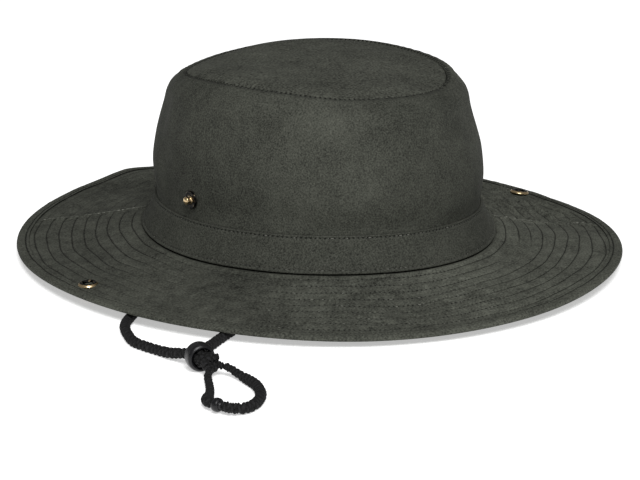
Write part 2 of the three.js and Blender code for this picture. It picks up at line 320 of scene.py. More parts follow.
def faces_of(rows: int, turns: int, closed_rows: bool) -> np.ndarray:
    """Corner numbers of the quads of a grid that closes round its turns, and round its rows if asked."""
    last = rows if closed_rows else rows - 1
    i, j = np.meshgrid(np.arange(last), np.arange(turns), indexing="ij")
    up, on = (i + 1) % rows, (j + 1) % turns
    quads = np.stack([i * turns + j, i * turns + on, up * turns + on, up * turns + j], axis=-1)
    return quads.reshape(-1, 4)


def signed_volume(points: np.ndarray, faces: np.ndarray) -> float:
    """Six times the volume that the faces close in, positive where they point outwards.

    Args:
        points: vertices, one a row.
        faces: triangles or quads, as corner numbers.

    Returns:
        Six times the volume.
    """
    a, b, c = points[faces[:, 0]], points[faces[:, 1]], points[faces[:, 2]]
    total = np.einsum("ij,ij->", a, np.cross(b, c))
    if faces.shape[1] == 4:
        total += np.einsum("ij,ij->", a, np.cross(c, points[faces[:, 3]]))
    return float(total)


def put_mesh(
    name: str,
    points: np.ndarray,
    parts: Sequence[np.ndarray],
    material: bpy.types.Material,
    uvs: Sequence[np.ndarray] | None = None,
) -> bpy.types.Object:
    """Makes a smooth shaded object from points in millimetres and turns its faces outwards.

    Args:
        name: the piece's name.
        points: vertices, one a row.
        parts: arrays of faces, each with one number of corners.
        material: the piece's finish.
        uvs: for each array of faces, the UV of each corner.

    Returns:
        The object, at the origin.
    """
    if sum(signed_volume(points, part) for part in parts) < 0:
        parts = [part[:, ::-1] for part in parts]
        uvs = None if uvs is None else [uv[:, ::-1] for uv in uvs]
    mesh = bpy.data.meshes.new(name)
    sizes = np.concatenate([np.full(len(part), part.shape[1]) for part in parts])
    corners = np.concatenate([part.reshape(-1) for part in parts])
    mesh.vertices.add(len(points))
    mesh.vertices.foreach_set("co", (points * MM).astype(np.float32).reshape(-1))
    mesh.loops.add(len(corners))
    mesh.loops.foreach_set("vertex_index", corners.astype(np.int32))
    mesh.polygons.add(len(sizes))
    starts = np.concatenate([[0], np.cumsum(sizes)[:-1]])
    mesh.polygons.foreach_set("loop_start", starts.astype(np.int32))
    mesh.polygons.foreach_set("use_smooth", np.ones(len(sizes), bool))
    mesh.update(calc_edges=True)
    mesh.validate()
    if uvs is not None:
        layer = mesh.uv_layers.new(name="sewing")
        layer.data.foreach_set("uv", np.concatenate([uv.reshape(-1) for uv in uvs]).astype(np.float32))
    mesh.materials.append(material)
    piece = bpy.data.objects.new(name, mesh)
    bpy.context.scene.collection.objects.link(piece)
    return piece


def ring_mesh(
    name: str,
    rings: np.ndarray,
    material: bpy.types.Material,
    closed_rows: bool,
    uv: np.ndarray | None = None,
) -> bpy.types.Object:
    """Makes a closed body from rings of points.

    Args:
        name: the piece's name.
        rings: rows, turns, 3.
        material: the piece's finish.
        closed_rows: True if the last ring joins the first; otherwise a fan closes each end.
        uv: rows, turns + 1, 2, the UV of each ring with its first point again at the end.

    Returns:
        The object.
    """
    rows, turns = rings.shape[:2]
    points = rings.reshape(-1, 3)
    quads = faces_of(rows, turns, closed_rows)
    parts = [quads]
    if not closed_rows:
        points = np.vstack([points, rings[0].mean(axis=0), rings[-1].mean(axis=0)])
        j = np.arange(turns)
        on, end = (j + 1) % turns, (rows - 1) * turns
        first = np.stack([on, j, np.full(turns, rows * turns)], axis=1)
        last = np.stack([end + j, end + on, np.full(turns, rows * turns + 1)], axis=1)
        parts.append(np.vstack([first, last]))
    uvs = None
    if uv is not None:
        i, j = np.meshgrid(np.arange(len(quads) // turns), np.arange(turns), indexing="ij")
        up = (i + 1) % rows
        uvs = [np.stack([uv[i, j], uv[i, j + 1], uv[up, j + 1], uv[up, j]], axis=2).reshape(-1, 4, 2)]
        if not closed_rows:
            uvs.append(np.tile([0.0, FAR], (len(parts[1]), 3, 1)))
    return put_mesh(name, points, parts, material, uvs)


def join_bodies(bodies: Sequence[tuple[np.ndarray, np.ndarray]]) -> tuple[np.ndarray, np.ndarray]:
    """One list of points and quads from several separate closed bodies.

    Args:
        bodies: points and faces of each body.

    Returns:
        Points and faces of all of them.
    """
    counts = np.cumsum([0] + [len(points) for points, _ in bodies[:-1]])
    points = np.vstack([points for points, _ in bodies])
    return points, np.vstack([faces + start for start, (_, faces) in zip(counts, bodies)])


def turned_rings(profile: Profile, sides: int) -> np.ndarray:
    """Rings of a turned shape about +Z: each profile point (radius, height) carried round.

    Args:
        profile: the shape's corners.
        sides: points in each ring.

    Returns:
        The rings.
    """
    radius, height = np.asarray(profile, float).T
    angle = np.arange(sides) / sides * TAU
    flat = np.stack([np.cos(angle), np.sin(angle), np.zeros(sides)], axis=1)
    return radius[:, None, None] * flat + height[:, None, None] * UP


def rounded(profile: Profile, steps: int = 4, share: float = 0.3) -> Profile:
    """A profile with each inner corner cut to a short curve: a parabola from a share of the way
    before the corner to the same share after it.

    Args:
        profile: (radius, height) points.
        steps: points in each curve.
        share: how much of each neighbouring stretch the curve takes.

    Returns:
        The longer profile.
    """
    points = np.asarray(profile, float)
    found = [points[:1]]
    t = np.linspace(0, 1, steps)[:, None]
    for before, corner, after in zip(points[:-2], points[1:-1], points[2:]):
        start, end = corner + share * (before - corner), corner + share * (after - corner)
        found.append((1 - t) ** 2 * start + 2 * t * (1 - t) * corner + t**2 * end)
    found.append(points[-1:])
    return [tuple(point) for point in np.vstack(found)]


def aim(rings: np.ndarray, spot: np.ndarray, axis: np.ndarray) -> np.ndarray:
    """Turns a shape made about +Z so that +Z lies along axis, and moves its origin to spot.

    Args:
        rings: the shape's points.
        spot: where its origin goes.
        axis: the way that its +Z goes.

    Returns:
        The moved points.
    """
    ahead = unit(np.asarray(axis, float))
    across = unit(np.cross([0.0, 1.0, 0.0] if abs(ahead[1]) < 0.9 else [1.0, 0.0, 0.0], ahead))
    other = np.cross(ahead, across)
    return rings @ np.stack([across, other, ahead]) + spot


# Shader maths

class Term:
    """A socket in a finish; its operators add Math nodes to the board that it is on."""

    def __init__(self, board: "Board", socket: bpy.types.NodeSocket) -> None:
        """Wraps a socket of a board."""
        self.board = board
        self.socket = socket

    def __add__(self, other: "Term | float") -> "Term":
        """Sum."""
        return self.board.math("ADD", self, other)

    def __sub__(self, other: "Term | float") -> "Term":
        """Difference."""
        return self.board.math("SUBTRACT", self, other)

    def __mul__(self, other: "Term | float") -> "Term":
        """Product."""
        return self.board.math("MULTIPLY", self, other)

    def __truediv__(self, other: "Term | float") -> "Term":
        """Quotient."""
        return self.board.math("DIVIDE", self, other)

    def __pow__(self, other: "Term | float") -> "Term":
        """Power."""
        return self.board.math("POWER", self, other)

    def __rsub__(self, other: float) -> "Term":
        """Difference from a number."""
        return self.board.math("SUBTRACT", other, self)

    __radd__ = __add__
    __rmul__ = __mul__


class Board:
    """The nodes of one finish."""

    def __init__(self, name: str) -> None:
        """Starts an empty material."""
        self.material = bpy.data.materials.new(name)
        self.material.use_nodes = True
        self.tree = self.material.node_tree
        self.tree.nodes.clear()

    def node(self, kind: str, settings: dict, inputs: dict) -> bpy.types.Node:
        """Adds a node.

        Args:
            kind: the node's type.
            settings: its properties, set first; "stops" holds a colour ramp's (place, grey) pairs.
            inputs: value or Term for each input, by name or number.

        Returns:
            The node.
        """
        node = self.tree.nodes.new(kind)
        for key, value in settings.items():
            if key == "stops":
                self._stops(node.color_ramp, value)
            else:
                setattr(node, key, value)
        for key, value in inputs.items():
            if isinstance(value, Term):
                self.tree.links.new(value.socket, node.inputs[key])
            else:
                node.inputs[key].default_value = value
        return node

    @staticmethod
    def _stops(ramp: bpy.types.ColorRamp, stops: Sequence[tuple[float, float]]) -> None:
        """Sets the stops of a ramp of greys."""
        while len(ramp.elements) < len(stops):
            ramp.elements.new(0.5)
        for element, (place, grey) in zip(ramp.elements, stops):
            element.position = place
            element.color = (grey, grey, grey, 1)

    def math(self, operation: str, first: Term | float, second: Term | float = 0.0) -> Term:
        """Adds a Math node on two values."""
        node = self.node("ShaderNodeMath", {"operation": operation}, {0: first, 1: second})
        return Term(self, node.outputs[0])

    def place(self) -> Term:
        """Object coordinates, in metres."""
        return Term(self, self.node("ShaderNodeTexCoord", {}, {}).outputs["Object"])

    def slanted(self, place: Term, lean: float, compass: float, stretch: float) -> Term:
        """Coordinates that stretch what is laid on them along a slanted line.

        Args:
            place: coordinates.
            lean: degrees from upright to the line.
            compass: degrees round from the plane of Y and Z to the plane that the line is in.
            stretch: how many times longer things become along the line.

        Returns:
            The new coordinates.
        """
        turn = (math.radians(lean), 0.0, math.radians(compass))
        inputs = {"Vector": place, "Rotation": turn, "Scale": (1.0, 1.0, stretch)}
        return Term(self, self.node("ShaderNodeMapping", {"vector_type": "TEXTURE"}, inputs).outputs[0])

    def noise(self, place: Term, scale: float, detail: float = 2.0) -> Term:
        """Noise from 0 to 1 with a given number of swells to the metre."""
        node = self.node("ShaderNodeTexNoise", {}, {"Vector": place, "Scale": scale, "Detail": detail})
        return Term(self, node.outputs[0])

    def band(self, value: Term, low: float, high: float) -> Term:
        """Smooth step from 0 at low to 1 at high, or falling where low is above high.

        Args:
            value: what the step follows.
            low: where it is 0.
            high: where it is 1.

        Returns:
            The step.
        """
        settings = {"interpolation_type": "SMOOTHSTEP", "clamp": True}
        if low < high:
            node = self.node("ShaderNodeMapRange", settings, {0: value, 1: low, 2: high, 3: 0.0, 4: 1.0})
        else:
            node = self.node("ShaderNodeMapRange", settings, {0: value, 1: high, 2: low, 3: 1.0, 4: 0.0})
        return Term(self, node.outputs[0])

    def tinted(self, colour: Colour, tone: Term) -> Term:
        """A colour made lighter or darker by a tone."""
        node = self.node("ShaderNodeVectorMath", {"operation": "SCALE"}, {0: colour, "Scale": tone})
        return Term(self, node.outputs[0])

    def blended(self, share: Term, first: Colour | Term, second: Colour | Term) -> Term:
        """Mix of two colours."""
        rgba = [value if isinstance(value, Term) else (*value, 1.0) for value in (first, second)]
        node = self.node("ShaderNodeMix", {"data_type": "RGBA"}, {0: share, 6: rgba[0], 7: rgba[1]})
        return Term(self, node.outputs[2])

    def parts(self, vector: Term) -> list[Term]:
        """The X, Y and Z of a vector."""
        node = self.node("ShaderNodeSeparateXYZ", {}, {0: vector})
        return [Term(self, socket) for socket in node.outputs]

    def sewing(self) -> list[Term]:
        """The two values that the UV map "sewing" holds."""
        node = self.node("ShaderNodeUVMap", {"uv_map": "sewing"}, {})
        return self.parts(Term(self, node.outputs[0]))[:2]

    def bump(self, height: Term, depth: float) -> Term:
        """Normal from a height, depth metres from 0 to 1."""
        node = self.node("ShaderNodeBump", {}, {"Height": height, "Distance": depth, "Strength": 1.0})
        return Term(self, node.outputs[0])

    def surface(self, inputs: dict) -> bpy.types.Material:
        """Ends the finish in one Principled shader.

        Args:
            inputs: value or Term for each socket of the shader.

        Returns:
            The material.
        """
        shader = self.node("ShaderNodeBsdfPrincipled", {}, inputs)
        self.node("ShaderNodeOutputMaterial", {}, {0: Term(self, shader.outputs[0])})
        return self.material


# Finishes

@dataclass(frozen=True)
class WaxedCloth:
    """Waxed cotton: mottled olive grey with a fine dry grain, with painted shade along its stitched lines and
    in their needle holes.

    Mottle, streak, cloud and grain are the strengths of four noises, each with its scale in swells
    to the metre; the streaks are drawn out along a slanted line and are painted shade of soft dents
    in the cloth. Line and hole say how dark the painted shade along the stitched lines and in their
    needle holes is, and their widths are in millimetres.
    """

    name: str
    colour: Colour = (0.0560, 0.0585, 0.0480)
    mottle: float = 0.75
    mottle_scale: float = 30
    streak: float = 0.0
    streak_scale: float = 45
    streak_lean: float = 60
    streak_compass: float = 52
    streak_stretch: float = 3.5
    cloud: float = 0.36
    cloud_scale: float = 150
    grain: float = 2.1
    grain_scale: float = 1000
    grain_depth: float = 0.00024
    line: float = 0.42
    line_width: float = 0.42
    hole: float = 0.45
    hole_width: float = 0.6
    roughness: float = 0.86
    shades: tuple[Panel | Shade, ...] = ()

    def material(self) -> bpy.types.Material:
        """Builds the finish. The UV map sewing holds the count of stitches along a line and the
        distance from the line in millimetres; the shades say how dark each line's painted shade is
        round the hat, and how the painted light and shade lightens and darkens the cloth there."""
        board = Board(self.name)
        place = board.place()
        slope = board.slanted(place, self.streak_lean, self.streak_compass, self.streak_stretch)
        mottle = board.noise(place, self.mottle_scale, 3)
        # Painted shade: the streaks stand for the shading of soft dents in the cloth.
        streak = board.noise(slope, self.streak_scale)
        cloud = board.noise(place, self.cloud_scale, 3)
        grain = board.noise(place, self.grain_scale)
        count, away = board.sewing()
        # Painted shade: line darkens the cloth along each stitched groove, and holes darkens it at each
        # needle hole.
        line = board.band(away, self.line_width, self.line_width * 0.2)
        wave = board.math("COSINE", count * TAU) * 0.5 + 0.5
        holes = board.band(away, self.hole_width, self.hole_width * 0.3) * wave**2.0
        # Painted light and shade: fade lightens the cloth where the light falls and darkens it elsewhere, by
        # compass angle.
        solid, dots, fade = self._ramps(board, place) if self.shades else (1.0, 1.0, 0.5)
        tone = (mottle - 0.5) * self.mottle + (streak - 0.5) * self.streak
        tone = tone + (cloud - 0.5) * self.cloud + (grain - 0.5) * self.grain
        dark = (1.0 - line * self.line * solid) * (1.0 - holes * self.hole * dots)
        colour = board.tinted(self.colour, (tone + 1.0) * dark * (fade * 2.0))
        height = grain * 0.75 + cloud * 0.25 - holes * 0.9
        rough = (cloud - 0.5) * 0.16 + self.roughness
        return board.surface({
            "Base Color": colour,
            "Roughness": rough,
            "Specular IOR Level": 0.12,
            "Normal": board.bump(height, self.grain_depth),
        })

    def _ramps(self, board: Board, place: Term) -> list[Term]:
        """Darkness of the painted shade of the lines and of the needle holes, and the cloth's painted
        light and shade, at each compass angle, as ramps through the shades.

        Args:
            board: the finish's board.
            place: object coordinates.

        Returns:
            The three ramps.
        """
        x, y, _ = board.parts(place)
        compass = board.math("ARCTAN2", y, x)
        share = board.math("FRACT", compass / TAU + 1.0)
        ramps = []
        for name in ("line", "dots", "fade"):
            column = [(shade.angle / 360, getattr(shade, name)) for shade in self.shades]
            edge = 0.5 * (column[0][1] + column[-1][1])
            stops = [(0.0, edge), *column, (1.0, edge)]
            ramp = board.node("ShaderNodeValToRGB", {"stops": stops}, {0: share})
            ramps.append(Term(board, ramp.outputs[0]))
        return ramps


@dataclass(frozen=True)
class Thread:
    """Dull sewing thread, here and there painted lighter than the cloth as glints, its twist a fine bump."""

    name: str
    colour: Colour = (0.048, 0.050, 0.042)
    rubbed: Colour = (0.17, 0.17, 0.15)

    def material(self) -> bpy.types.Material:
        """Builds the finish."""
        board = Board(self.name)
        place = board.place()
        twist = board.noise(place, 2600, 1)
        uneven = board.noise(place, 300, 1)
        tint = board.tinted(self.colour, (twist - 0.5) * 0.5 + (uneven - 0.5) * 0.7 + 1.0)
        # Painted glints: here and there the thread is lightened, standing for highlights on its stitches.
        wear_and_glint_mask = board.band(board.noise(place, 420, 1), 0.57, 0.68)
        return board.surface({
            "Base Color": board.blended(wear_and_glint_mask, tint, self.rubbed),
            "Roughness": 0.7,
            "Specular IOR Level": 0.2,
            "Normal": board.bump(twist, 0.0001),
        })


@dataclass(frozen=True)
class AgedBrass:
    """Brass gone black in its hollows and gunmetal grey on its flats, bright on its ball and rim."""

    name: str
    bright: Colour = (0.62, 0.47, 0.27)
    dark: Colour = (0.007, 0.007, 0.007)
    gunmetal: Colour = (0.045, 0.043, 0.041)
    ball: float = 2.35
    ball_blur: float = 0.1
    rim: float = 4.75
    rim_blur: float = 0.15

    def material(self) -> bpy.types.Material:
        """Builds the finish. The UV map "sewing" holds the distance from the snap's axis in
        millimetres: the metal is bright inside the ball's radius and outside the rim's."""
        board = Board(self.name)
        place = board.place()
        spots = board.noise(place, 700, 3)
        stain = board.noise(place, 260)
        radius = board.sewing()[1] + (spots - 0.5) * 0.5
        rim = board.band(radius, self.rim - self.rim_blur, self.rim + self.rim_blur)
        wear_and_glint_mask = rim + board.band(radius, self.ball + self.ball_blur, self.ball - self.ball_blur)
        grey = board.blended(board.band(stain, 0.5, 0.66), self.dark, self.gunmetal)
        rubbed = board.blended(board.band(spots, 0.58, 0.66) * 0.4, grey, self.bright)
        colour = board.blended(wear_and_glint_mask, rubbed, self.bright)
        return board.surface({
            "Base Color": colour,
            "Metallic": 1.0,
            "Roughness": 0.42 - wear_and_glint_mask * 0.14 + (spots - 0.5) * 0.2,
            "Normal": board.bump(spots, 0.00006),
        })


@dataclass(frozen=True)
class BraidedYarn:
    """Matt black cord yarn with painted shade: full colour on the crowns of its strands and dark between
    them.
    """

    name: str
    colour: Colour = (0.0105, 0.0105, 0.0112)
    low: float = 0.84
    high: float = 1.08
    deep: float = 0.1

    def material(self) -> bpy.types.Material:
        """Builds the finish. The UV map sewing holds the height in the weave, 1 on a level strand:
        the colour, as painted shade, falls to the deep share from the high height to the low one."""
        board = Board(self.name)
        place = board.place()
        fibre = board.noise(place, 2200)
        tuft = board.noise(place, 700)
        # Painted shade: the colour darkens from the strands' crowns down into the gaps between them.
        shade = board.band(board.sewing()[1], self.low, self.high) * (1 - self.deep) + self.deep
        colour = board.tinted(self.colour, ((fibre - 0.5) * 2.2 + (tuft - 0.5) * 0.9 + 1.0) * shade)
        return board.surface({
            "Base Color": colour,
            "Roughness": 0.8,
            "Specular IOR Level": 0.3,
            "Normal": board.bump(fibre, 0.00025),
        })


@dataclass(frozen=True)
class BlackPlastic:
    """Satin black moulded plastic with a fine pebbled grain and light scuffs."""

    name: str
    colour: Colour = (0.005, 0.005, 0.006)
    scuffed: Colour = (0.022, 0.022, 0.024)

    def material(self) -> bpy.types.Material:
        """Builds the finish."""
        board = Board(self.name)
        place = board.place()
        pebble = board.noise(place, 2400)
        scuff = board.band(board.noise(place, 420, 3), 0.56, 0.72)
        colour = board.blended(scuff * 0.5, self.colour, self.scuffed)
        return board.surface({
            "Base Color": colour,
            "Roughness": 0.34 + scuff * 0.2,
            "Specular IOR Level": 0.34,
            "Normal": board.bump(pebble, 0.00006),
        })


@dataclass(frozen=True)
class PaleFloor:
    """Plain white studio floor, lit a little from within as a light table is."""

    name: str
    colour: Colour = (0.95, 0.95, 0.95)
    glow: float = 0.45

    def material(self) -> bpy.types.Material:
        """Builds the finish."""
        return Board(self.name).surface({
            "Base Color": (*self.colour, 1.0),
            "Roughness": 0.9,
            "Emission Color": (1.0, 1.0, 1.0, 1.0),
            "Emission Strength": self.glow,
        })


Finish = WaxedCloth | Thread | AgedBrass | BraidedYarn | BlackPlastic


def made(finish: Finish) -> Field:
    """A field that holds a finish's material, built when its owner is."""
    return field(default_factory=finish.material)


@dataclass
class Wardrobe:
    """Every finish of the hat, made once."""

    cloth: bpy.types.Material = made(WaxedCloth(
        "waxed_cloth", (0.0498, 0.0521, 0.0426), mottle=0.6, streak=0.7, cloud=0.6, grain=2.4,
        grain_scale=1200, line=0.3, line_width=0.9, hole=0.97, hole_width=1.7, shades=CROWN_SHADES))
    # Painted light: the top's cloth is a little lighter than the wall's, for the light that falls on it from
    # above.
    topping: bpy.types.Material = made(WaxedCloth(
        "top_cloth", (0.0530, 0.0554, 0.0454), mottle=1.0, cloud=0.7, grain=3.0, grain_scale=850,
        line=0.2, hole=0.9, hole_width=1.2))
    banding: bpy.types.Material = made(WaxedCloth(
        "band_cloth", (0.0490, 0.0512, 0.0420), grain=2.5, grain_scale=1200, line=0.35, hole=0.7,
        shades=CROWN_SHADES))
    quilted: bpy.types.Material = made(WaxedCloth(
        "quilted_cloth", mottle=1.1, cloud=1.2, grain=2.4, line=0.75, hole=0.75, hole_width=0.8,
        shades=PANELS))
    hemming: bpy.types.Material = made(WaxedCloth(
        "hem_cloth", grain=2.6, line=0.8, line_width=0.6, hole=0.5, shades=HEM_SHADES))
    thread: bpy.types.Material = made(Thread("thread"))
    # Painted highlight: a paler copy of the thread, for the light that catches the brim's seam stitches.
    pale_thread: bpy.types.Material = made(Thread("pale_thread", (0.096, 0.099, 0.084), (0.24, 0.24, 0.21)))
    brass: bpy.types.Material = made(AgedBrass("aged_brass"))
    yarn: bpy.types.Material = made(BraidedYarn("braided_yarn"))
    plastic: bpy.types.Material = made(BlackPlastic("black_plastic"))


def keep(piece: bpy.types.Object, slot: str, *nodes: str) -> bpy.types.Object:
    """Rides a piece on the hat, hides the frame's nodes that it stands for, and logs it with their names.

    Args:
        piece: the piece.
        slot: the record's material slot; not used.
        nodes: the frame's nodes.

    Returns:
        The same piece.
    """
    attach(piece, "root")
    if nodes:
        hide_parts(*nodes)
    log.info("%s: %d faces, for %s", piece.name, len(piece.data.polygons), ", ".join(nodes) or "no node")
    return piece


# The hat's form

@dataclass
class HatForm:
    """The hat's plain form as functions of the turn round it and the way up or out."""

    wall: float = 1.8
    gap: float = 0.3
    rim_side: float = 169.1
    rim_front: float = 182.4
    edge: float = 2.6
    edge_width: float = 6.6
    edge_round: float = 0.9
    foot: float = 5.0
    brim: float = 1.8
    dome: float = 6.6
    settle: float = 0.9
    settle_turn: float = 230.0
    kink: float = 2.0
    kink_turn: float = 94.0
    kink_width: float = 6.0
    dome_reach: tuple[float, ...] = (0, 0.3, 0.6, 0.86, 1)
    dome_rise: tuple[float, ...] = (1, 0.88, 0.71, 0.44, 0)
    sag_reach: tuple[float, ...] = (0, 0.14, 0.34, 0.58, 0.8, 1)
    sag: tuple[float, ...] = (0, 0.7, 1.3, 1.2, 0.6, 0)

    def __post_init__(self) -> None:
        """Takes the stations' columns as arrays."""
        self.columns = {name: np.array([getattr(row, name) for row in STATIONS]) for name in Station._fields}
        self.mean_seam = float(self.columns["seam"].mean())

    def height(self, ring: str, turn: np.ndarray) -> np.ndarray:
        """Height of a named ring at each turn."""
        return round_curve(self.columns[ring], turn)

    def rim_height(self, turn: np.ndarray) -> np.ndarray:
        """Height of the brim edge's underside, never under the floor: the table's, less a cosine
        that is widest at the settled turn, and raised by a small bell at the back.

        Args:
            turn: angles round the hat.

        Returns:
            The height at each.
        """
        kink = self.kink * bell(np.degrees(turn) % 360 - self.kink_turn, self.kink_width)
        near = 0.5 + 0.5 * np.cos(turn - math.radians(self.settle_turn))
        return np.maximum(0.0, self.height("rim", turn) - self.settle * near + kink)

    def level_height(self, level: np.ndarray, turn: np.ndarray) -> np.ndarray:
        """Height of a level: straight from the join to the band's top, then to the seam.

        Args:
            level: levels, as in WallRow.
            turn: angles round the hat.

        Returns:
            The heights.
        """
        join, band, seam = (self.height(ring, turn) for ring in ("join", "band", "seam"))
        low, high = np.minimum(level, 1.0), np.maximum(level - 1.0, 0.0)
        return join + (band - join) * low + (seam - band) * high

    @staticmethod
    def on_ellipse(side: np.ndarray, front: np.ndarray, z: np.ndarray, turn: np.ndarray) -> np.ndarray:
        """Points of ellipses: half width side across and front lengthwise, at height z."""
        x, y, z = np.broadcast_arrays(side * np.cos(turn), front * np.sin(turn), z)
        return np.stack([x, y, z], axis=-1)

    def upright(
        self, rows: Sequence[WallRow], turn: np.ndarray, level: np.ndarray, lift: np.ndarray,
    ) -> np.ndarray:
        """Points on or off the crown's face.

        The face's half widths follow the table's rows and its height the level. Its outward
        normal is square to the ellipse in plan and to the profile in section, and lift is the
        distance from the face along it.

        Args:
            rows: the table of half widths.
            turn: angles round the hat.
            level: levels, of the same shape.
            lift: distance outwards.

        Returns:
            The points.
        """
        levels = [row.level for row in rows]
        sides, fronts = [row.side for row in rows], [row.front for row in rows]
        side, front = row_curve(level, levels, sides), row_curve(level, levels, fronts)
        z = self.level_height(level, turn)
        step = 0.004
        low, high = level - step, level + step
        out = row_curve(high, levels, sides) - row_curve(low, levels, sides)
        rise = self.level_height(high, turn) - self.level_height(low, turn)
        slope = np.hypot(out, rise)
        plan = unit(np.stack([np.cos(turn) / side, np.sin(turn) / front], axis=-1))
        normal = np.concatenate([plan * (rise / slope)[..., None], (-out / slope)[..., None]], axis=-1)
        return self.on_ellipse(side, front, z, turn) + normal * np.asarray(lift)[..., None]

    def cover(self, turn: np.ndarray, reach: np.ndarray) -> np.ndarray:
        """Points of the crown's top at a share of the way out from its middle.

        Args:
            turn: angles round the hat.
            reach: share of the way out to the seam.

        Returns:
            The points.
        """
        seam = CROWN_ROWS[-1]
        rise = row_curve(reach, self.dome_reach, self.dome_rise)
        z = self.mean_seam + (self.height("seam", turn) - self.mean_seam) * reach**2 + self.dome * rise
        return self.on_ellipse((seam.side - self.gap) * reach, (seam.front - self.gap) * reach, z, turn)

    def brim_top(self, side: np.ndarray, front: np.ndarray, turn: np.ndarray) -> np.ndarray:
        """Points of the brim's plain top: straight from the join to the rim, less the sag.

        Args:
            side: half width across.
            front: half width lengthwise.
            turn: angles round the hat.

        Returns:
            The points.
        """
        start = BAND_ROWS[0].side
        reach = np.clip((side - start) / (self.rim_side - start), 0.0, 1.0)
        join = self.height("join", turn) - self.gap
        rim = self.rim_height(turn) + self.edge - 2 * self.gap
        z = join + (rim - join) * reach - row_curve(reach, self.sag_reach, self.sag)
        return self.on_ellipse(side, front, z, turn)


def turns_of(count: int) -> np.ndarray:
    """Evenly spaced angles round the hat."""
    return np.arange(count) / count * TAU


def line_length(points: np.ndarray) -> float:
    """Length of a closed line of points."""
    return float(np.linalg.norm(np.roll(points, -1, axis=0) - points, axis=1).sum())


# Stitches

@dataclass
class StitchLine:
    """One line of stitches: middle of each, its heading and the way up from the cloth."""

    points: np.ndarray
    ahead: np.ndarray
    up: np.ndarray


@dataclass
class Needlework:
    """Rows of single stitches, each a small closed lozenge half sunk in the cloth."""

    finish: bpy.types.Material
    pitch: float = 2.7
    length: float = 1.9
    width: float = 0.5
    depth: float = 0.34

    def count(self, length: float) -> int:
        """Number of stitches on a line of this length."""
        return max(4, round(length / self.pitch))

    def count_round(self, side: float, front: float) -> int:
        """Number of stitches on a level ellipse with these half widths."""
        return self.count(line_length(HatForm.on_ellipse(side, front, 0.0, turns_of(720))))

    def lozenge(self) -> tuple[np.ndarray, np.ndarray]:
        """One stitch along +X with +Z up: four rings of six points, the end ones small."""
        along = np.array([-0.5, -0.3, 0.3, 0.5]) * self.length
        girth = np.array([0.35, 1.0, 1.0, 0.35])
        angle = turns_of(6)
        y = girth[:, None] * np.cos(angle) * self.width / 2
        z = girth[:, None] * np.sin(angle) * self.depth / 2
        x = np.broadcast_to(along[:, None], y.shape)
        points = np.stack([x, y, z], axis=-1).reshape(-1, 3)
        ends = np.array([[0, 3, 2, 1], [0, 5, 4, 3], [18, 19, 20, 21], [18, 21, 22, 23]])
        return points, np.vstack([faces_of(4, 6, False)[:, ::-1], ends])

    def sew(self, name: str, lines: Sequence[StitchLine], slot: str) -> bpy.types.Object:
        """Joins the stitches of several lines in one piece.

        Args:
            name: the piece's name.
            lines: the lines.
            slot: the material slot.

        Returns:
            The piece.
        """
        shape, faces = self.lozenge()
        spots = np.vstack([line.points for line in lines])
        ahead = unit(np.vstack([line.ahead for line in lines]))
        up = np.vstack([line.up for line in lines])
        across = unit(np.cross(up, ahead))
        up = np.cross(ahead, across)
        draw = np.random.default_rng(len(spots))
        size = draw.uniform(0.85, 1.1, (len(spots), 1, 1))
        skew = draw.normal(0, 0.05, (len(spots), 1))
        ahead = unit(ahead + across * skew)
        basis = np.stack([ahead, across, up], axis=1)
        points = np.einsum("kc,ncd->nkd", shape, basis) * size + spots[:, None, :]
        quads = faces[None] + (np.arange(len(spots)) * len(shape))[:, None, None]
        piece = put_mesh(name, points.reshape(-1, 3), [quads.reshape(-1, 4)], self.finish)
        return keep(piece, slot)


def stitch_line(points_at: PointsAt, count: int, rise: float = 0.0) -> StitchLine:
    """Places stitches evenly by turn on a closed line.

    Args:
        points_at: function of turn and a side step in millimetres that gives points on the cloth.
        count: number of stitches.
        rise: height of the stitches' middles above the cloth.

    Returns:
        The line; up is square to the heading and to the side step.
    """
    turn = (np.arange(count) + 0.5) / count * TAU
    step = 0.3 / count * TAU
    spots = points_at(turn, 0.0)
    ahead = unit(points_at(turn + step, 0.0) - points_at(turn - step, 0.0))
    beside = points_at(turn, 0.4) - points_at(turn, -0.4)
    up = unit(np.cross(ahead, beside))
    return StitchLine(spots + up * rise, ahead, up)


def sewing_uv(turns: int, counts: np.ndarray | float, away: np.ndarray) -> np.ndarray:
    """UV of a grid: the count of stitches passed along each ring, and its distance from a line.

    Args:
        turns: points in each ring.
        counts: stitches round each ring, or one number for all.
        away: each ring's distance from its stitch line in millimetres.

    Returns:
        rings, turns + 1, 2.
    """
    along = np.broadcast_to(counts, len(away))[:, None] * (np.arange(turns + 1) / turns)
    return np.stack([along, np.broadcast_to(away[:, None], along.shape)], axis=-1)


# Crown

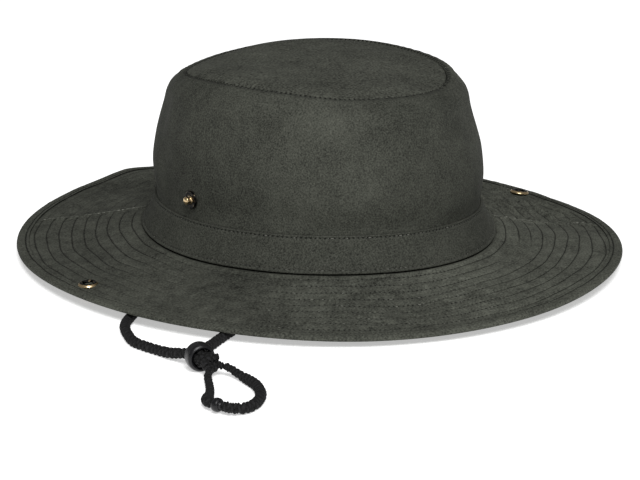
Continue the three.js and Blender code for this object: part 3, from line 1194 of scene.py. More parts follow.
@dataclass
class Crown:
    """The crown: side wall, sewn top and the stitches beside their seam."""

    form: HatForm
    wardrobe: Wardrobe
    needle: Needlework
    turns: int = 720
    face_rows: int = 58
    shoulder_rows: int = 11
    inner_rows: int = 16
    top_rows: int = 44
    seam_stitch: float = 1.1
    stitch_rise: float = -0.14
    swell: float = 0.75
    ripple: float = 0.22
    puckers: int = 74
    wander: float = 2.2
    pucker: float = 0.132
    fold_level: float = 1.999
    tuck: float = 0.7
    lean: float = 0.66
    lean_turn: float = 160.0
    top_swell: float = 0.5
    top_ripple: float = 0.14
    top_pucker: float = 0.14
    top_tuck: float = 0.75
    top_line: float = 0.45

    def __post_init__(self) -> None:
        """Sets up the cloth's soft fields and counts the stitches."""
        self.broad = SoftField(11, 85)
        self.fine = SoftField(12, 26)
        self.fold = SoftField(13, 60)
        self.seam = CROWN_ROWS[-1]
        self.stitches = self.needle.count_round(self.seam.side, self.seam.front)

    def wall_lift(self, turn: np.ndarray, level: np.ndarray) -> np.ndarray:
        """Distance of the cloth off the plain wall: soft swells, fading at the band, short puckers
        under the top seam, the fold of cloth into the seam and a lean away from one turn.

        Args:
            turn: angles round the hat.
            level: levels, as in WallRow, of the same shape.

        Returns:
            The distances.
        """
        plain = self.form.upright(CROWN_ROWS, turn, level, np.zeros_like(level))
        fade = climb(level - 1, 0.12) * climb(2 - level, 0.12)
        swell = self.swell * self.broad(plain) + self.ripple * self.fine(plain)
        waves = np.sin(turn * self.puckers + self.wander * self.fine(plain)) * (0.6 + 0.4 * self.fold(plain))
        pucker = self.pucker * climb(level - 1.86, 0.13) * waves
        tuck = self.tuck * climb(level - self.fold_level, 2 - self.fold_level) ** 2
        lean = self.lean * climb(level - 1, 0.9) ** 1.5 * np.cos(turn - math.radians(self.lean_turn))
        return swell * fade + pucker - tuck - lean

    def wall_point(self, turn: np.ndarray, level: np.ndarray) -> np.ndarray:
        """Points on the outer face of the wall."""
        turn, level = np.broadcast_arrays(turn, level)
        return self.form.upright(CROWN_ROWS, turn, level, self.wall_lift(turn, level))

    def levels(self) -> np.ndarray:
        """Levels of the wall's rings: close where the shoulder turns, and closest at the seam."""
        face = np.linspace(0.94, 1.9, self.face_rows)
        shoulder = np.linspace(1.9, 1.992, self.shoulder_rows + 1)[1:]
        lap = np.linspace(1.992, 2.0, self.shoulder_rows + 1)[1:]
        return np.concatenate([np.linspace(0, 0.9, 5), face, shoulder, lap])

    def build_wall(self) -> bpy.types.Object:
        """Builds the wall as a closed shell: the outer face, then the inner one a wall's thickness in."""
        turn = turns_of(self.turns)[None, :]
        outer = self.wall_point(turn, self.levels()[:, None])
        inner_turn, level = np.broadcast_arrays(turn, np.linspace(2.0, 0.0, self.inner_rows)[:, None])
        lift = self.wall_lift(inner_turn, np.minimum(level, self.fold_level)) - self.form.wall
        inner = self.form.upright(CROWN_ROWS, inner_turn, level, lift)
        run = run_along(outer[:, 0])
        away = np.concatenate([np.abs(run[-1] - run - self.seam_stitch), np.full(self.inner_rows, FAR)])
        uv = sewing_uv(self.turns, self.stitches, away)
        rings = np.concatenate([outer, inner])
        piece = ring_mesh("crown_wall_cloth", rings, self.wardrobe.cloth, True, uv)
        return keep(piece, "oilskin", "crown_wall")

    def top_point(self, turn: np.ndarray, reach: np.ndarray) -> np.ndarray:
        """Points on the crown's top: the plain dome, soft swells, puckers at the seam and the
        fold of the edge down into it.

        Args:
            turn: angles round the hat.
            reach: share of the way out to the seam.

        Returns:
            The points.
        """
        turn, reach = np.broadcast_arrays(turn, reach)
        plain = self.form.cover(turn, reach)
        inset = (1 - reach) * self.seam.side
        near = bell(inset, 5.0)
        swell = (self.top_swell * self.broad(plain) + self.top_ripple * self.fine(plain)) * (1 - near)
        pucker = self.top_pucker * near * np.sin(turn * self.puckers + self.wander * self.fine(plain))
        tuck = self.top_tuck * np.clip(1 - inset, 0, 1) ** 2
        return plain + (swell + pucker - tuck)[..., None] * UP

    def build_top(self) -> bpy.types.Object:
        """Builds the top as a closed disc: rings from the middle out, round the edge and back. It has
        no line of stitches of its own, only the painted shade of the seam and its needle holes at its edge."""
        turn = turns_of(self.turns)[None, :]
        inset = np.array([3.2, 2.4, 1.7, 1.2, 0.8, 0.5, 0.2, 0.0])
        reach = np.concatenate([np.linspace(0.012, 0.945, self.top_rows), 1 - inset / self.seam.side])
        back = np.array([1.0, 0.93, 0.7, 0.4, 0.1])
        upper = self.top_point(turn, reach[:, None])
        lower = self.top_point(turn, back[:, None]) - self.form.wall * UP
        away = np.concatenate([(1 - reach) * self.seam.side + self.top_line, np.full(len(back), FAR)])
        uv = sewing_uv(self.turns, self.stitches, away)
        rings = np.concatenate([upper, lower])
        piece = ring_mesh("crown_top_cloth", rings, self.wardrobe.topping, False, uv)
        return keep(piece, "oilskin", "crown_top")

    def sew_seam(self) -> bpy.types.Object:
        """Sews the line of stitches beside the top seam."""
        level = np.linspace(1.99, 2.0, 200)
        run = run_along(self.wall_point(np.zeros(200), level))

        def on_wall(turn: np.ndarray, aside: float) -> np.ndarray:
            """Points at the stitch line, a step up or down the wall."""
            at = np.interp(run[-1] - self.seam_stitch + aside, run, level)
            return self.wall_point(turn, np.full_like(turn, at))

        lines = [stitch_line(on_wall, self.stitches, self.stitch_rise)]
        return self.needle.sew("crown_seam_stitches", lines, "oilskin")

    def build(self) -> None:
        """Builds the whole crown."""
        self.build_wall()
        self.build_top()
        self.sew_seam()


# Band

@dataclass
class Band:
    """The sewn band round the foot of the crown, folded and stitched along both edges."""

    form: HatForm
    wardrobe: Wardrobe
    needle: Needlework
    turns: int = 720
    face_rows: int = 30
    thick: float = 1.35
    tuck: float = 0.45
    top_line: float = 1.3
    foot_line: float = 1.7
    foot_fade: float = 0.25
    height: float = 19.5
    puff: float = 0.35
    swell: float = 0.22
    ripple: float = 0.07
    dip: float = 0.28
    fold: float = 0.4
    stitch_rise: float = -0.08

    def __post_init__(self) -> None:
        """Sets up the cloth's soft fields and counts the stitches."""
        self.broad = SoftField(21, 40)
        self.fine = SoftField(22, 14)
        self.stitches = self.needle.count_round(BAND_ROWS[2].side, BAND_ROWS[2].front)

    def lift(self, turn: np.ndarray, level: np.ndarray) -> np.ndarray:
        """Distance off the plain band: a soft puff between its stitch lines, a bell down at each
        line and up at each edge, and the round of the folded edges.

        Args:
            turn: angles round the hat.
            level: 0 at the foot and 1 at the top edge.

        Returns:
            The distances.
        """
        plain = self.form.upright(BAND_ROWS, turn, level, np.zeros_like(level))
        up, down = (1 - level) * self.height, level * self.height
        top = 0.16 * bell(up, 0.7) - self.dip * bell(up - self.top_line, 0.45) - self.fold * bell(up, 3.0)
        foot = 0.25 * bell(down, 0.9) - self.dip * bell(down - self.foot_line, 0.5)
        edges = self.fold * (np.clip(1 - up / 0.4, 0, 1) ** 2 + np.clip(1 - down / 0.5, 0, 1) ** 2)
        soft = self.puff + self.swell * self.broad(plain) + self.ripple * self.fine(plain)
        return soft * np.sin(np.pi * np.clip(level, 0, 1)) + top + foot - edges

    def point(self, turn: np.ndarray, level: np.ndarray) -> np.ndarray:
        """Points on the band's outer face."""
        turn, level = np.broadcast_arrays(turn, level)
        return self.form.upright(BAND_ROWS, turn, level, self.lift(turn, level))

    def build(self) -> None:
        """Builds the band as a closed strip and sews its two lines."""
        turn = turns_of(self.turns)[None, :]
        foot, top = [0, 0.15, 0.4, 0.8, 1.2], [18.7, 19.1, 19.35, self.height]
        run = np.concatenate([foot, np.linspace(self.foot_line, 18.2, self.face_rows), top])
        outer = self.point(turn, (run / self.height)[:, None])
        inner_turn, level = np.broadcast_arrays(turn, np.array([1.0, 0.66, 0.33, 0.0])[:, None])
        inner = self.form.upright(BAND_ROWS, inner_turn, level, -self.thick - self.tuck * level)
        from_foot, from_top = np.abs(run - self.foot_line), np.abs(self.height - run - self.top_line)
        near = np.minimum(from_foot + self.foot_fade, from_top)
        uv = sewing_uv(self.turns, self.stitches, np.concatenate([near, np.full(len(inner), FAR)]))
        rings = np.concatenate([outer, inner])
        keep(ring_mesh("band_cloth", rings, self.wardrobe.banding, True, uv), "oilskin", "crown_band")
        places = (self.foot_line, self.height - self.top_line)
        lines = [stitch_line(self._line(place), self.stitches, self.stitch_rise) for place in places]
        self.needle.sew("band_stitches", lines, "oilskin")

    def _line(self, place: float) -> PointsAt:
        """A function that gives points beside one stitch line of the band."""
        def on_band(turn: np.ndarray, aside: float) -> np.ndarray:
            """Points at the line, a step up or down the band."""
            return self.point(turn, np.full_like(turn, (place + aside) / self.height))
        return on_band


# Brim

@dataclass
class Brim:
    """The brim: two layers of cloth quilted by rows of stitches, and the folded edge."""

    form: HatForm
    wardrobe: Wardrobe
    needle: Needlework
    turns: int = 1120
    under_turns: int = 720
    width: float = 65.8
    rows: int = 9
    first_row: float = 5.8
    row_pitch: float = 7.1
    layer_gap: float = 0.05
    seam_jog: float = -2.2
    seam_ridge: float = 0.85
    seam_width: float = 2.6
    seam_step: float = 0.35
    seam_stitch: float = 0.9
    seam_rise: float = 0.06
    seam_radius: float = 104.0
    seam_growth: float = 66.0
    swell: float = 0.4
    drift: float = 0.4
    wave_radius: float = 105.0
    wave_growth: float = 62.0
    under_share: float = 0.55
    groove_width: float = 0.35

    def __post_init__(self) -> None:
        """Takes the panels' columns as arrays and sets up the cloth's soft fields."""
        self.panel = {name: np.array([getattr(row, name) for row in PANELS]) for name in Panel._fields}
        self.row_runs = self.first_row + self.row_pitch * np.arange(self.rows)
        self.knots = np.concatenate([[0.0], self.row_runs, [self.width]])
        self.broad = SoftField(31, 60)
        self.fine = SoftField(32, 17)
        self.slow = SoftField(33, 34)
        self.crush = SoftField(34, 12)
        self.phases = np.random.default_rng(35).uniform(0, TAU, len(self.knots))
        lines = [self._plain(turns_of(720), run) for run in self.row_runs]
        self.counts = np.array([self.needle.count(line_length(line)) for line in lines])

    def _halves(self, run: np.ndarray) -> tuple[np.ndarray, np.ndarray]:
        """Half widths of the plain brim at a distance from the band."""
        start, share = BAND_ROWS[0], run / self.width
        end_inset = self.form.edge_width + self.form.gap
        side = start.side + (self.form.rim_side - end_inset - start.side) * share
        front = start.front + (self.form.rim_front - end_inset - start.front) * share
        return side, front

    def _plain(self, turn: np.ndarray, run: np.ndarray) -> np.ndarray:
        """Points of the unquilted brim's top at a distance from the band, with its soft swells."""
        side, front = self._halves(run)
        flat = self.form.brim_top(side, front, turn)
        window = climb(run, 10) * climb(self.width - run, 8)
        return flat + (self.swell * self.broad(flat) * window)[..., None] * UP

    def _panel(self, compass: np.ndarray) -> dict[str, np.ndarray]:
        """Each of the panels' columns at these compass angles."""
        angles = self.panel["angle"]
        return {name: np.interp(compass, angles, column, period=360) for name, column in self.panel.items()}

    def _seam_radius(self, run: np.ndarray) -> np.ndarray:
        """Distance from the hat's middle to a place on a radial seam, by its distance from the band."""
        return self.seam_radius + self.seam_growth * run / self.width

    def seam_sides(self, compass: np.ndarray, run: np.ndarray) -> list[np.ndarray]:
        """Signed distance in millimetres past each radial seam, positive towards the back: the seams
        slant a little from the spoke, from one compass angle at the band to another at the edge.

        Args:
            compass: compass angles.
            run: distances from the band.

        Returns:
            The distances past each of SEAMS.
        """
        share = run / self.width
        past = [(compass - seam.compass - seam.slant * share) * seam.way for seam in SEAMS]
        return [np.radians(angle) * self._seam_radius(run) for angle in past]

    def point(self, turn: np.ndarray, run: np.ndarray, under: bool = False) -> np.ndarray:
        """Points on the brim's top or underside.

        The rows keep their distance from the band but jog at the two radial seams and drift a
        little. Across each gap between rows the cloth puffs as a half sine, dips in a narrow
        bell at each row, and puckers as waves along the row whose size, slant and pitch come
        from the panels. Just past each seam it rises in a wide bell over the folded cloth, and
        it rolls down into the join at the band.

        Args:
            turn: angles round the hat.
            run: distances from the band.
            under: True for the underside, where the rows press upwards.

        Returns:
            The points.
        """
        turn, run = np.broadcast_arrays(turn, run)
        plain = self._plain(turn, run)
        compass = compass_of(plain)
        panel = self._panel(compass)
        sides = self.seam_sides(compass, run)
        side = np.where(compass < 200, *sides)
        behind = 1 / (1 + np.exp(-np.clip(side / self.seam_step, -40, 40)))
        window = climb(run, self.first_row) * climb(self.width - run, 3.2)
        shift = window * (behind * self.seam_jog + self.drift * self.slow(plain))
        lift = self._quilt(turn, run, plain, panel)
        for away in sides:
            lift = lift + self.seam_ridge * bell(away - 0.6, self.seam_width) * (away > -0.4) * window
        groove = panel["groove"] * self._groove(run)
        moved = self._plain(turn, run + shift)
        if under:
            return moved + (self.under_share * lift - self.form.brim + 0.5 * groove)[..., None] * UP
        join = 0.4 * bell(run - 3, 1.0) - 0.9 * np.clip(1 - run / 1.6, 0, 1) ** 2
        return moved + (lift - groove + join)[..., None] * UP

    def _groove(self, run: np.ndarray) -> np.ndarray:
        """Share of the groove's depth: a narrow bell on each stitched row."""
        return bell(np.abs(run[..., None] - self.row_runs).min(axis=-1), self.groove_width)

    def _quilt(self, turn: np.ndarray, run: np.ndarray, plain: np.ndarray, panel: dict) -> np.ndarray:
        """Puff and puckers between the rows: a cosine along the row, its phase bent by a soft field,
        plus a finer field, both times an arch across the gap; the puff is the arch alone.

        Args:
            turn: angles round the hat.
            run: distances from the band.
            plain: the unquilted points.
            panel: the panels' columns at each point.

        Returns:
            The height above the plain cloth.
        """
        place = np.interp(run, self.knots, np.arange(len(self.knots)))
        gap = np.clip(np.floor(place).astype(int), 0, len(self.knots) - 2)
        share = place - gap
        arch = np.sin(np.pi * share)
        along = turn * (self.wave_radius + self.wave_growth * run / self.width)
        slip = panel["slant"] * (share - 0.5) * self.row_pitch
        wave = np.cos(TAU * (along + slip) / panel["pitch"] + self.phases[gap] + 1.9 * self.fine(plain))
        crush = self.crush(plain)
        puckers = panel["pucker"] * (0.8 * wave * (0.55 + 0.45 * crush) + 0.5 * crush) * arch**0.7
        return puckers * climb(run - 2, 3) * climb(self.width - run, 7) + 0.55 * panel["groove"] * arch

    def runs(self, offsets: Sequence[float]) -> np.ndarray:
        """Distances of the rings from the band: a group of them about each row of stitches."""
        about = (self.row_runs[:, None] + np.asarray(offsets)).reshape(-1)
        ends = [0.0, 0.35, 0.7, 1.1, 1.6, 2.2, 2.7, 3.2, self.width - 1.4, self.width]
        return np.unique(np.round(np.concatenate([about[about < self.width - 0.5], ends]), 3))

    def _uv(self, runs: np.ndarray, rest: int, turns: int) -> np.ndarray:
        """UV of a layer: each ring counts the stitches of its nearest row.

        Args:
            runs: distances of the face's rings from the band.
            rest: number of its other rings.
            turns: points in each ring.

        Returns:
            The UV.
        """
        nearest = np.abs(runs[:, None] - self.row_runs).argmin(axis=1)
        counts = np.concatenate([self.counts[nearest], np.ones(rest)])
        away = np.concatenate([np.abs(runs - self.row_runs[nearest]), np.full(rest, FAR)])
        return sewing_uv(turns, counts, away)

    def _throat(self, turn: np.ndarray) -> np.ndarray:
        """Ring of the brim's inner end, under the crown's wall."""
        foot = CROWN_ROWS[0]
        side, front = foot.side - self.form.wall, foot.front - self.form.wall
        return self.form.on_ellipse(side, front, self.form.height("join", turn) - self.form.gap, turn)

    def build_layer(self, name: str, turns: int, offsets: Sequence[float], under: bool) -> bpy.types.Object:
        """Builds one layer: its face, a plain back at the middle of the brim and a lap into the throat.

        Args:
            name: the piece's name.
            turns: points in each ring.
            offsets: distances of the rings from each row of stitches.
            under: True for the lower layer, whose face is downwards.

        Returns:
            The piece.
        """
        turn = turns_of(turns)[None, :]
        runs = self.runs(offsets)
        middle = self.form.brim / 2 + (self.layer_gap if under else -self.layer_gap)
        face_drop = self.form.brim if under else self.form.gap
        face = self.point(turn, runs[:, None], under)
        back = self._plain(turn, self.width * np.array([1.0, 0.5, 0.0])[:, None]) - middle * UP
        throat = self._throat(turn)
        rings = np.concatenate([face, back, throat - middle * UP, throat - face_drop * UP])
        uv = self._uv(runs, len(rings) - len(runs), turns)
        return keep(ring_mesh(name, rings, self.wardrobe.quilted, True, uv), "stitched_oilskin", "brim")

    def sew_rows(self) -> bpy.types.Object:
        """Sews the rows of stitches in the top's grooves."""
        lines = [stitch_line(self._row(run), count) for run, count in zip(self.row_runs, self.counts)]
        for line in lines:
            line.points += line.up * self._panel(compass_of(line.points))["rise"][:, None]
        return self.needle.sew("brim_stitches", lines, "stitched_oilskin")

    def sew_seams(self) -> bpy.types.Object:
        """Sews a line beside each radial seam in the paler thread, whose lighter colour is painted highlight
        on its stitches.
        """
        needle = Needlework(self.wardrobe.pale_thread, length=2.5, width=0.5, depth=0.5)
        return needle.sew("brim_seam_stitches", [self._seam_line(seam) for seam in SEAMS], "stitched_oilskin")

    def _seam_line(self, seam: RadialSeam) -> StitchLine:
        """Stitches from the band to the edge, just past a radial seam.

        Args:
            seam: the seam.

        Returns:
            The line.
        """
        run = np.arange(3.5, self.width - 2, self.needle.pitch)
        side, front = self._halves(run)
        angle = np.radians(seam.compass + seam.slant * run / self.width)
        angle = angle + seam.way * self.seam_stitch / self._seam_radius(run)
        turn = np.arctan2(np.sin(angle) / front, np.cos(angle) / side)
        spots = self.point(turn, run)
        ahead = unit(np.gradient(spots, axis=0))
        beside = self.point(turn + 0.004, run) - self.point(turn - 0.004, run)
        up = unit(np.cross(ahead, beside))
        return StitchLine(spots + up * self.seam_rise, ahead, up)

    def _row(self, run: float) -> PointsAt:
        """A function that gives points beside one row of the brim."""
        def on_brim(turn: np.ndarray, aside: float) -> np.ndarray:
            """Points at the row, a step in or out."""
            return self.point(turn, np.full_like(turn, run - aside))
        return on_brim

    def build(self) -> None:
        """Builds both layers, the rows and the folded edge."""
        self.build_layer("brim_top_cloth", self.turns, (-2.3, -1.1, -0.36, 0, 0.36, 1.1, 2.3, 3.55), False)
        self.build_layer("brim_under_cloth", self.under_turns, (-1.3, -0.4, 0, 0.4, 1.3, 3.55), True)
        self.sew_rows()
        self.sew_seams()
        Hem(self.form, self.wardrobe, self.needle).build()


@dataclass
class Hem:
    """The folded and stitched edge of the brim."""

    form: HatForm
    wardrobe: Wardrobe
    needle: Needlework
    turns: int = 1120
    line: float = 5.2
    step: float = 0.7
    lap: float = 7.15
    foot_round: float = 1.1
    dip: float = 0.4
    puff: float = 0.22
    lip_shade: float = 0.12
    stitch_rise: float = -0.12

    def __post_init__(self) -> None:
        """Sets up the cloth's soft fields and counts the stitches."""
        self.fine = SoftField(41, 22)
        self.ripple = SoftField(42, 8)
        self.stitches = self.needle.count_round(self.form.rim_side - 5, self.form.rim_front - 5)

    def _ring(self, inset: float | np.ndarray, z: np.ndarray, turn: np.ndarray) -> np.ndarray:
        """Points a distance in from the rim, at height z."""
        return self.form.on_ellipse(self.form.rim_side - inset, self.form.rim_front - inset, z, turn)

    def _plate(self, turn: np.ndarray) -> np.ndarray:
        """Height of the brim's top where the edge begins."""
        form = self.form
        return form.brim_top(form.rim_side - form.edge_width, form.rim_front - form.edge_width, turn)[..., 2]

    def top(self, turn: np.ndarray, inset: np.ndarray) -> np.ndarray:
        """Points on the edge's top: from a small step over the brim out to the round of the rim,
        dipping in a bell at its stitch line and puckered a little along it.

        Args:
            turn: angles round the hat.
            inset: distances in from the rim.

        Returns:
            The points.
        """
        turn, inset = np.broadcast_arrays(turn, inset)
        form = self.form
        rim = form.rim_height(turn) + form.edge
        share = np.clip(inset / form.edge_width, 0, 1)
        z = rim + (self._plate(turn) + self.step - rim) * share
        flat = self._ring(inset, z, turn)
        puff = (self.puff + 0.10 * self.ripple(flat)) * np.sin(np.pi * share)
        lift = puff + 0.12 * self.fine(flat) - self.dip * bell(inset - self.line, 0.5)
        return flat + lift[..., None] * UP

    def build(self) -> None:
        """Builds the edge as a closed ring: top, outer round, foot and inner end."""
        form = self.form
        turn = turns_of(self.turns)[None, :]
        insets = np.array([self.lap, 6.9, 6.5, 6.0, 5.6, 5.2, 4.8, 4.4, 3.8, 3.0, 2.2, 1.6, 1.1])
        upper = self.top(turn, insets[:, None])
        lip = upper[:1] - (self.step - 0.05) * UP
        angle = np.radians(np.linspace(70, -70, 8))[:, None]
        floor = form.rim_height(turn)
        rise = form.edge / 2 * (1 + np.sin(angle))
        outer = self._ring(form.edge_round * (1 - np.cos(angle)), floor + rise, turn)
        flat = self._ring(self.foot_round, floor, turn)
        foot = self._ring(form.foot, floor, turn)
        inner = self._ring(form.edge_width, self._plate(turn) - form.brim - form.gap, turn)
        rings = np.concatenate([lip, upper, outer, flat, foot, inner])
        away = np.full(len(rings), FAR)
        away[1:1 + len(insets)] = np.abs(insets - self.line)
        away[:2] = self.lip_shade
        uv = sewing_uv(self.turns, self.stitches, away)
        piece = ring_mesh("brim_edge_cloth", rings, self.wardrobe.hemming, True, uv)
        keep(piece, "stitched_oilskin", "brim_edge")

        def on_edge(turn: np.ndarray, aside: float) -> np.ndarray:
            """Points at the stitch line, a step in or out."""
            return self.top(turn, np.full_like(turn, self.line + aside))

        lines = [stitch_line(on_edge, self.stitches, self.stitch_rise)]
        self.needle.sew("edge_stitches", lines, "stitched_oilskin")


# Snaps

@dataclass
class Snap:
    """One side's snap: a socket through the brim and a stud through the crown."""

    form: HatForm
    wardrobe: Wardrobe
    side: Side
    inset: float = 12.4
    seat_reach: float = 0.8
    stud_level: float = 1.15
    stud_seat: float = 87.4
    sides: int = 48
    dull: float = 4.55
    socket: Profile = (
        (2.7, 0.1), (2.8, 0.4), (2.8, 0.7), (3.0, 1.5), (3.9, 1.9), (4.9, 1.5), (5.7, 0.6), (5.7, 0.0))
    stud: Profile = (
        (5.2, 0.0), (5.2, 0.5), (4.6, 0.95), (2.7, 0.8), (1.9, 1.2), (1.7, 2.2), (2.3, 2.9), (2.2, 3.9),
        (1.2, 4.6))
    cap: Profile = ((5.4, 0.0), (5.2, 0.5), (3.6, 0.9), (1.2, 1.1))

    def turned(
        self, name: str, profile: Profile, spot: np.ndarray, axis: np.ndarray, node: str,
    ) -> bpy.types.Object:
        """Turns a profile with its corners rounded about an axis and closes it flat at both ends.

        Args:
            name: the piece's name.
            profile: corners of the profile.
            spot: where height 0 of the profile is.
            axis: the way up.
            node: the frame's node. Only a socket's rim is bright from wear: elsewhere the finish takes no
                distance from the axis as more than the dull radius.

        Returns:
            The piece.
        """
        soft = rounded(profile)
        rings = aim(turned_rings(soft, self.sides), spot, axis)
        radii = np.array([radius for radius, _ in soft])
        if not node.startswith("snap_socket"):
            radii = np.minimum(radii, self.dull)
        uv = sewing_uv(self.sides, 0.0, radii)
        return keep(ring_mesh(name, rings, self.wardrobe.brass, False, uv), "aged_brass", node)

    def brim_seat(self) -> tuple[np.ndarray, np.ndarray]:
        """Where the socket sits on the brim's top, and the way up from it there."""
        form, sign, start = self.form, self.side.sign, BAND_ROWS[0]
        turn = np.array(math.radians(self.side.value))
        side = start.side + (form.rim_side - start.side) * self.seat_reach
        front = start.front + (form.rim_front - start.front) * self.seat_reach
        inner = form.brim_top(np.array(side), front, turn)
        outer = form.brim_top(np.array(form.rim_side), np.array(form.rim_front), turn)
        along = unit(outer - inner)
        share = (form.rim_side - self.inset - abs(inner[0])) / (abs(outer[0]) - abs(inner[0]))
        up = unit(np.cross(along, [0.0, 1.0, 0.0]) * sign)
        return inner + (outer - inner) * share, up

    def build(self) -> None:
        """Builds the socket, the stud and the two plain caps behind them."""
        word = self.side.word
        spot, up = self.brim_seat()
        self.turned(f"socket_{word}", self.socket, spot + up * self.form.gap, up, f"snap_socket_{word}")
        under = spot - up * (self.form.brim + self.form.gap)
        self.turned(f"socket_cap_{word}", self.cap, under, -up, f"snap_cap_{word}")
        turn = np.array(math.radians(self.side.value))
        height = float(self.form.level_height(np.array(self.stud_level), turn))
        wall = np.array([self.side.sign * self.stud_seat, 0.0, height])
        out = np.array([float(self.side.sign), 0.0, 0.0])
        self.turned(f"stud_{word}", self.stud, wall + out * self.form.gap, out, f"snap_stud_{word}")
        inside = wall - out * (self.form.wall + 2 * self.form.gap)
        self.turned(f"stud_back_{word}", self.cap, inside, -out, f"stud_cap_{word}")


# Chin cord

SHORT_STRAND = (
    (-83.5, 0, 14.5), (-83.5, 0, 12), (-85, -0.7, 8.2), (-88.6, -2.4, 5), (-94.5, -5, 3), (-102, -9, 2.5),
    (-125, -22, 2.5), (-145, -33.5, 2.5), (-156.1, -41.4, 2.5), (-168.6, -53.3, 2.5),
    (-176.2, -68.7, 2.5), (-178.9, -77.9, 2.5), (-178.2, -87.8, 2.5), (-176.5, -97.1, 2.6),
    (-175.6, -106, 3.6), (-174.4, -113.5, 5.3), (-173.5, -118.9, 6.3), (-174.2, -122, 6.6),
)
LONG_STRAND = (
    (83.5, 0, 14.5), (83.5, 0, 12), (82.1, -0.6, 8.2), (78.6, -2.2, 5), (73, -4.7, 3), (65, -8.3, 2.5),
    (30, -24, 2.5), (-10, -42, 2.5), (-50, -60, 2.5), (-90, -78, 2.5), (-120, -91, 2.5),
    (-136.4, -98.6, 2.5), (-151.1, -106.8, 2.6), (-159.6, -112, 3.6), (-165, -116.3, 5.2),
    (-168, -120, 6.3), (-169.1, -123.3, 6.6),
)
LOOP_OUT = (
    (-168.9, -143.3, 5.6), (-167.4, -145.2, 4.9), (-166.2, -150, 3.4), (-166.1, -156, 2.6),
    (-166.5, -161.2, 2.5), (-167.9, -169, 2.5), (-171.7, -177.5, 2.5), (-176.3, -183.7, 2.5),
    (-182, -188.4, 2.6), (-188, -191.3, 2.8), (-193.5, -191.8, 3.3), (-197.9, -189.4, 3.9),
    (-200.2, -185.6, 4.2),
)
LOOP_BACK = (
    (-202, -179.4, 4.2), (-202.1, -177, 4.1), (-200.4, -173.2, 3.6), (-196.6, -168.6, 2.8),
    (-191.2, -162.4, 2.5), (-185.4, -153.7, 2.6), (-181.4, -146.8, 3.9), (-178, -143.3, 5.2),
)


def smooth_route(points: Route, spacing: float) -> np.ndarray:
    """Points spaced evenly on the smooth curve through a route.

    Between two points the curve is a cubic whose end slopes weigh the neighbouring stretches by
    the square root of their lengths.

    Args:
        points: the route's points.
        spacing: distance between the points given back.

    Returns:
        Points, one a row.
    """
    route = np.asarray(points, float)
    full = np.vstack([2 * route[0] - route[1], route, 2 * route[-1] - route[-2]])
    p0, p1, p2, p3 = full[:-3], full[1:-2], full[2:-1], full[3:]
    g0, g1, g2 = (np.sqrt(np.linalg.norm(b - a, axis=1))[:, None] for a, b in ((p0, p1), (p1, p2), (p2, p3)))
    leaving = ((p1 - p0) / g0 - (p2 - p0) / (g0 + g1) + (p2 - p1) / g1) * g1
    arriving = ((p2 - p1) / g1 - (p3 - p1) / (g1 + g2) + (p3 - p2) / g2) * g1
    t = np.linspace(0, 1, 60, endpoint=False)[None, :, None]
    a, b, m, n = (value[:, None, :] for value in (p1, p2, leaving, arriving))
    curve = a + t * (m + t * (3 * (b - a) - 2 * m - n + t * (2 * (a - b) + m + n)))
    curve = np.vstack([curve.reshape(-1, 3), route[-1:]])
    run = run_along(curve)
    places = np.linspace(0, run[-1], max(8, round(run[-1] / spacing)))
    return np.stack([np.interp(places, run, curve[:, k]) for k in range(3)], axis=1)


def carried_frames(path: np.ndarray) -> tuple[np.ndarray, np.ndarray]:
    """Two directions square to a path, carried along it without twist: at each step the first is
    the one before it, less its part along the path.

    Args:
        path: the path's points.

    Returns:
        The two directions at each point.
    """
    ahead = unit(np.gradient(path, axis=0))
    first = np.zeros_like(path)
    start = np.array([0.0, 1.0, 0.0]) if abs(ahead[0, 1]) < 0.9 else UP
    first[0] = unit(start - ahead[0] * (start @ ahead[0]))
    for i in range(1, len(path)):
        turned = first[i - 1] - ahead[i] * (first[i - 1] @ ahead[i])
        first[i] = turned / np.linalg.norm(turned)
    return first, np.cross(ahead, first)


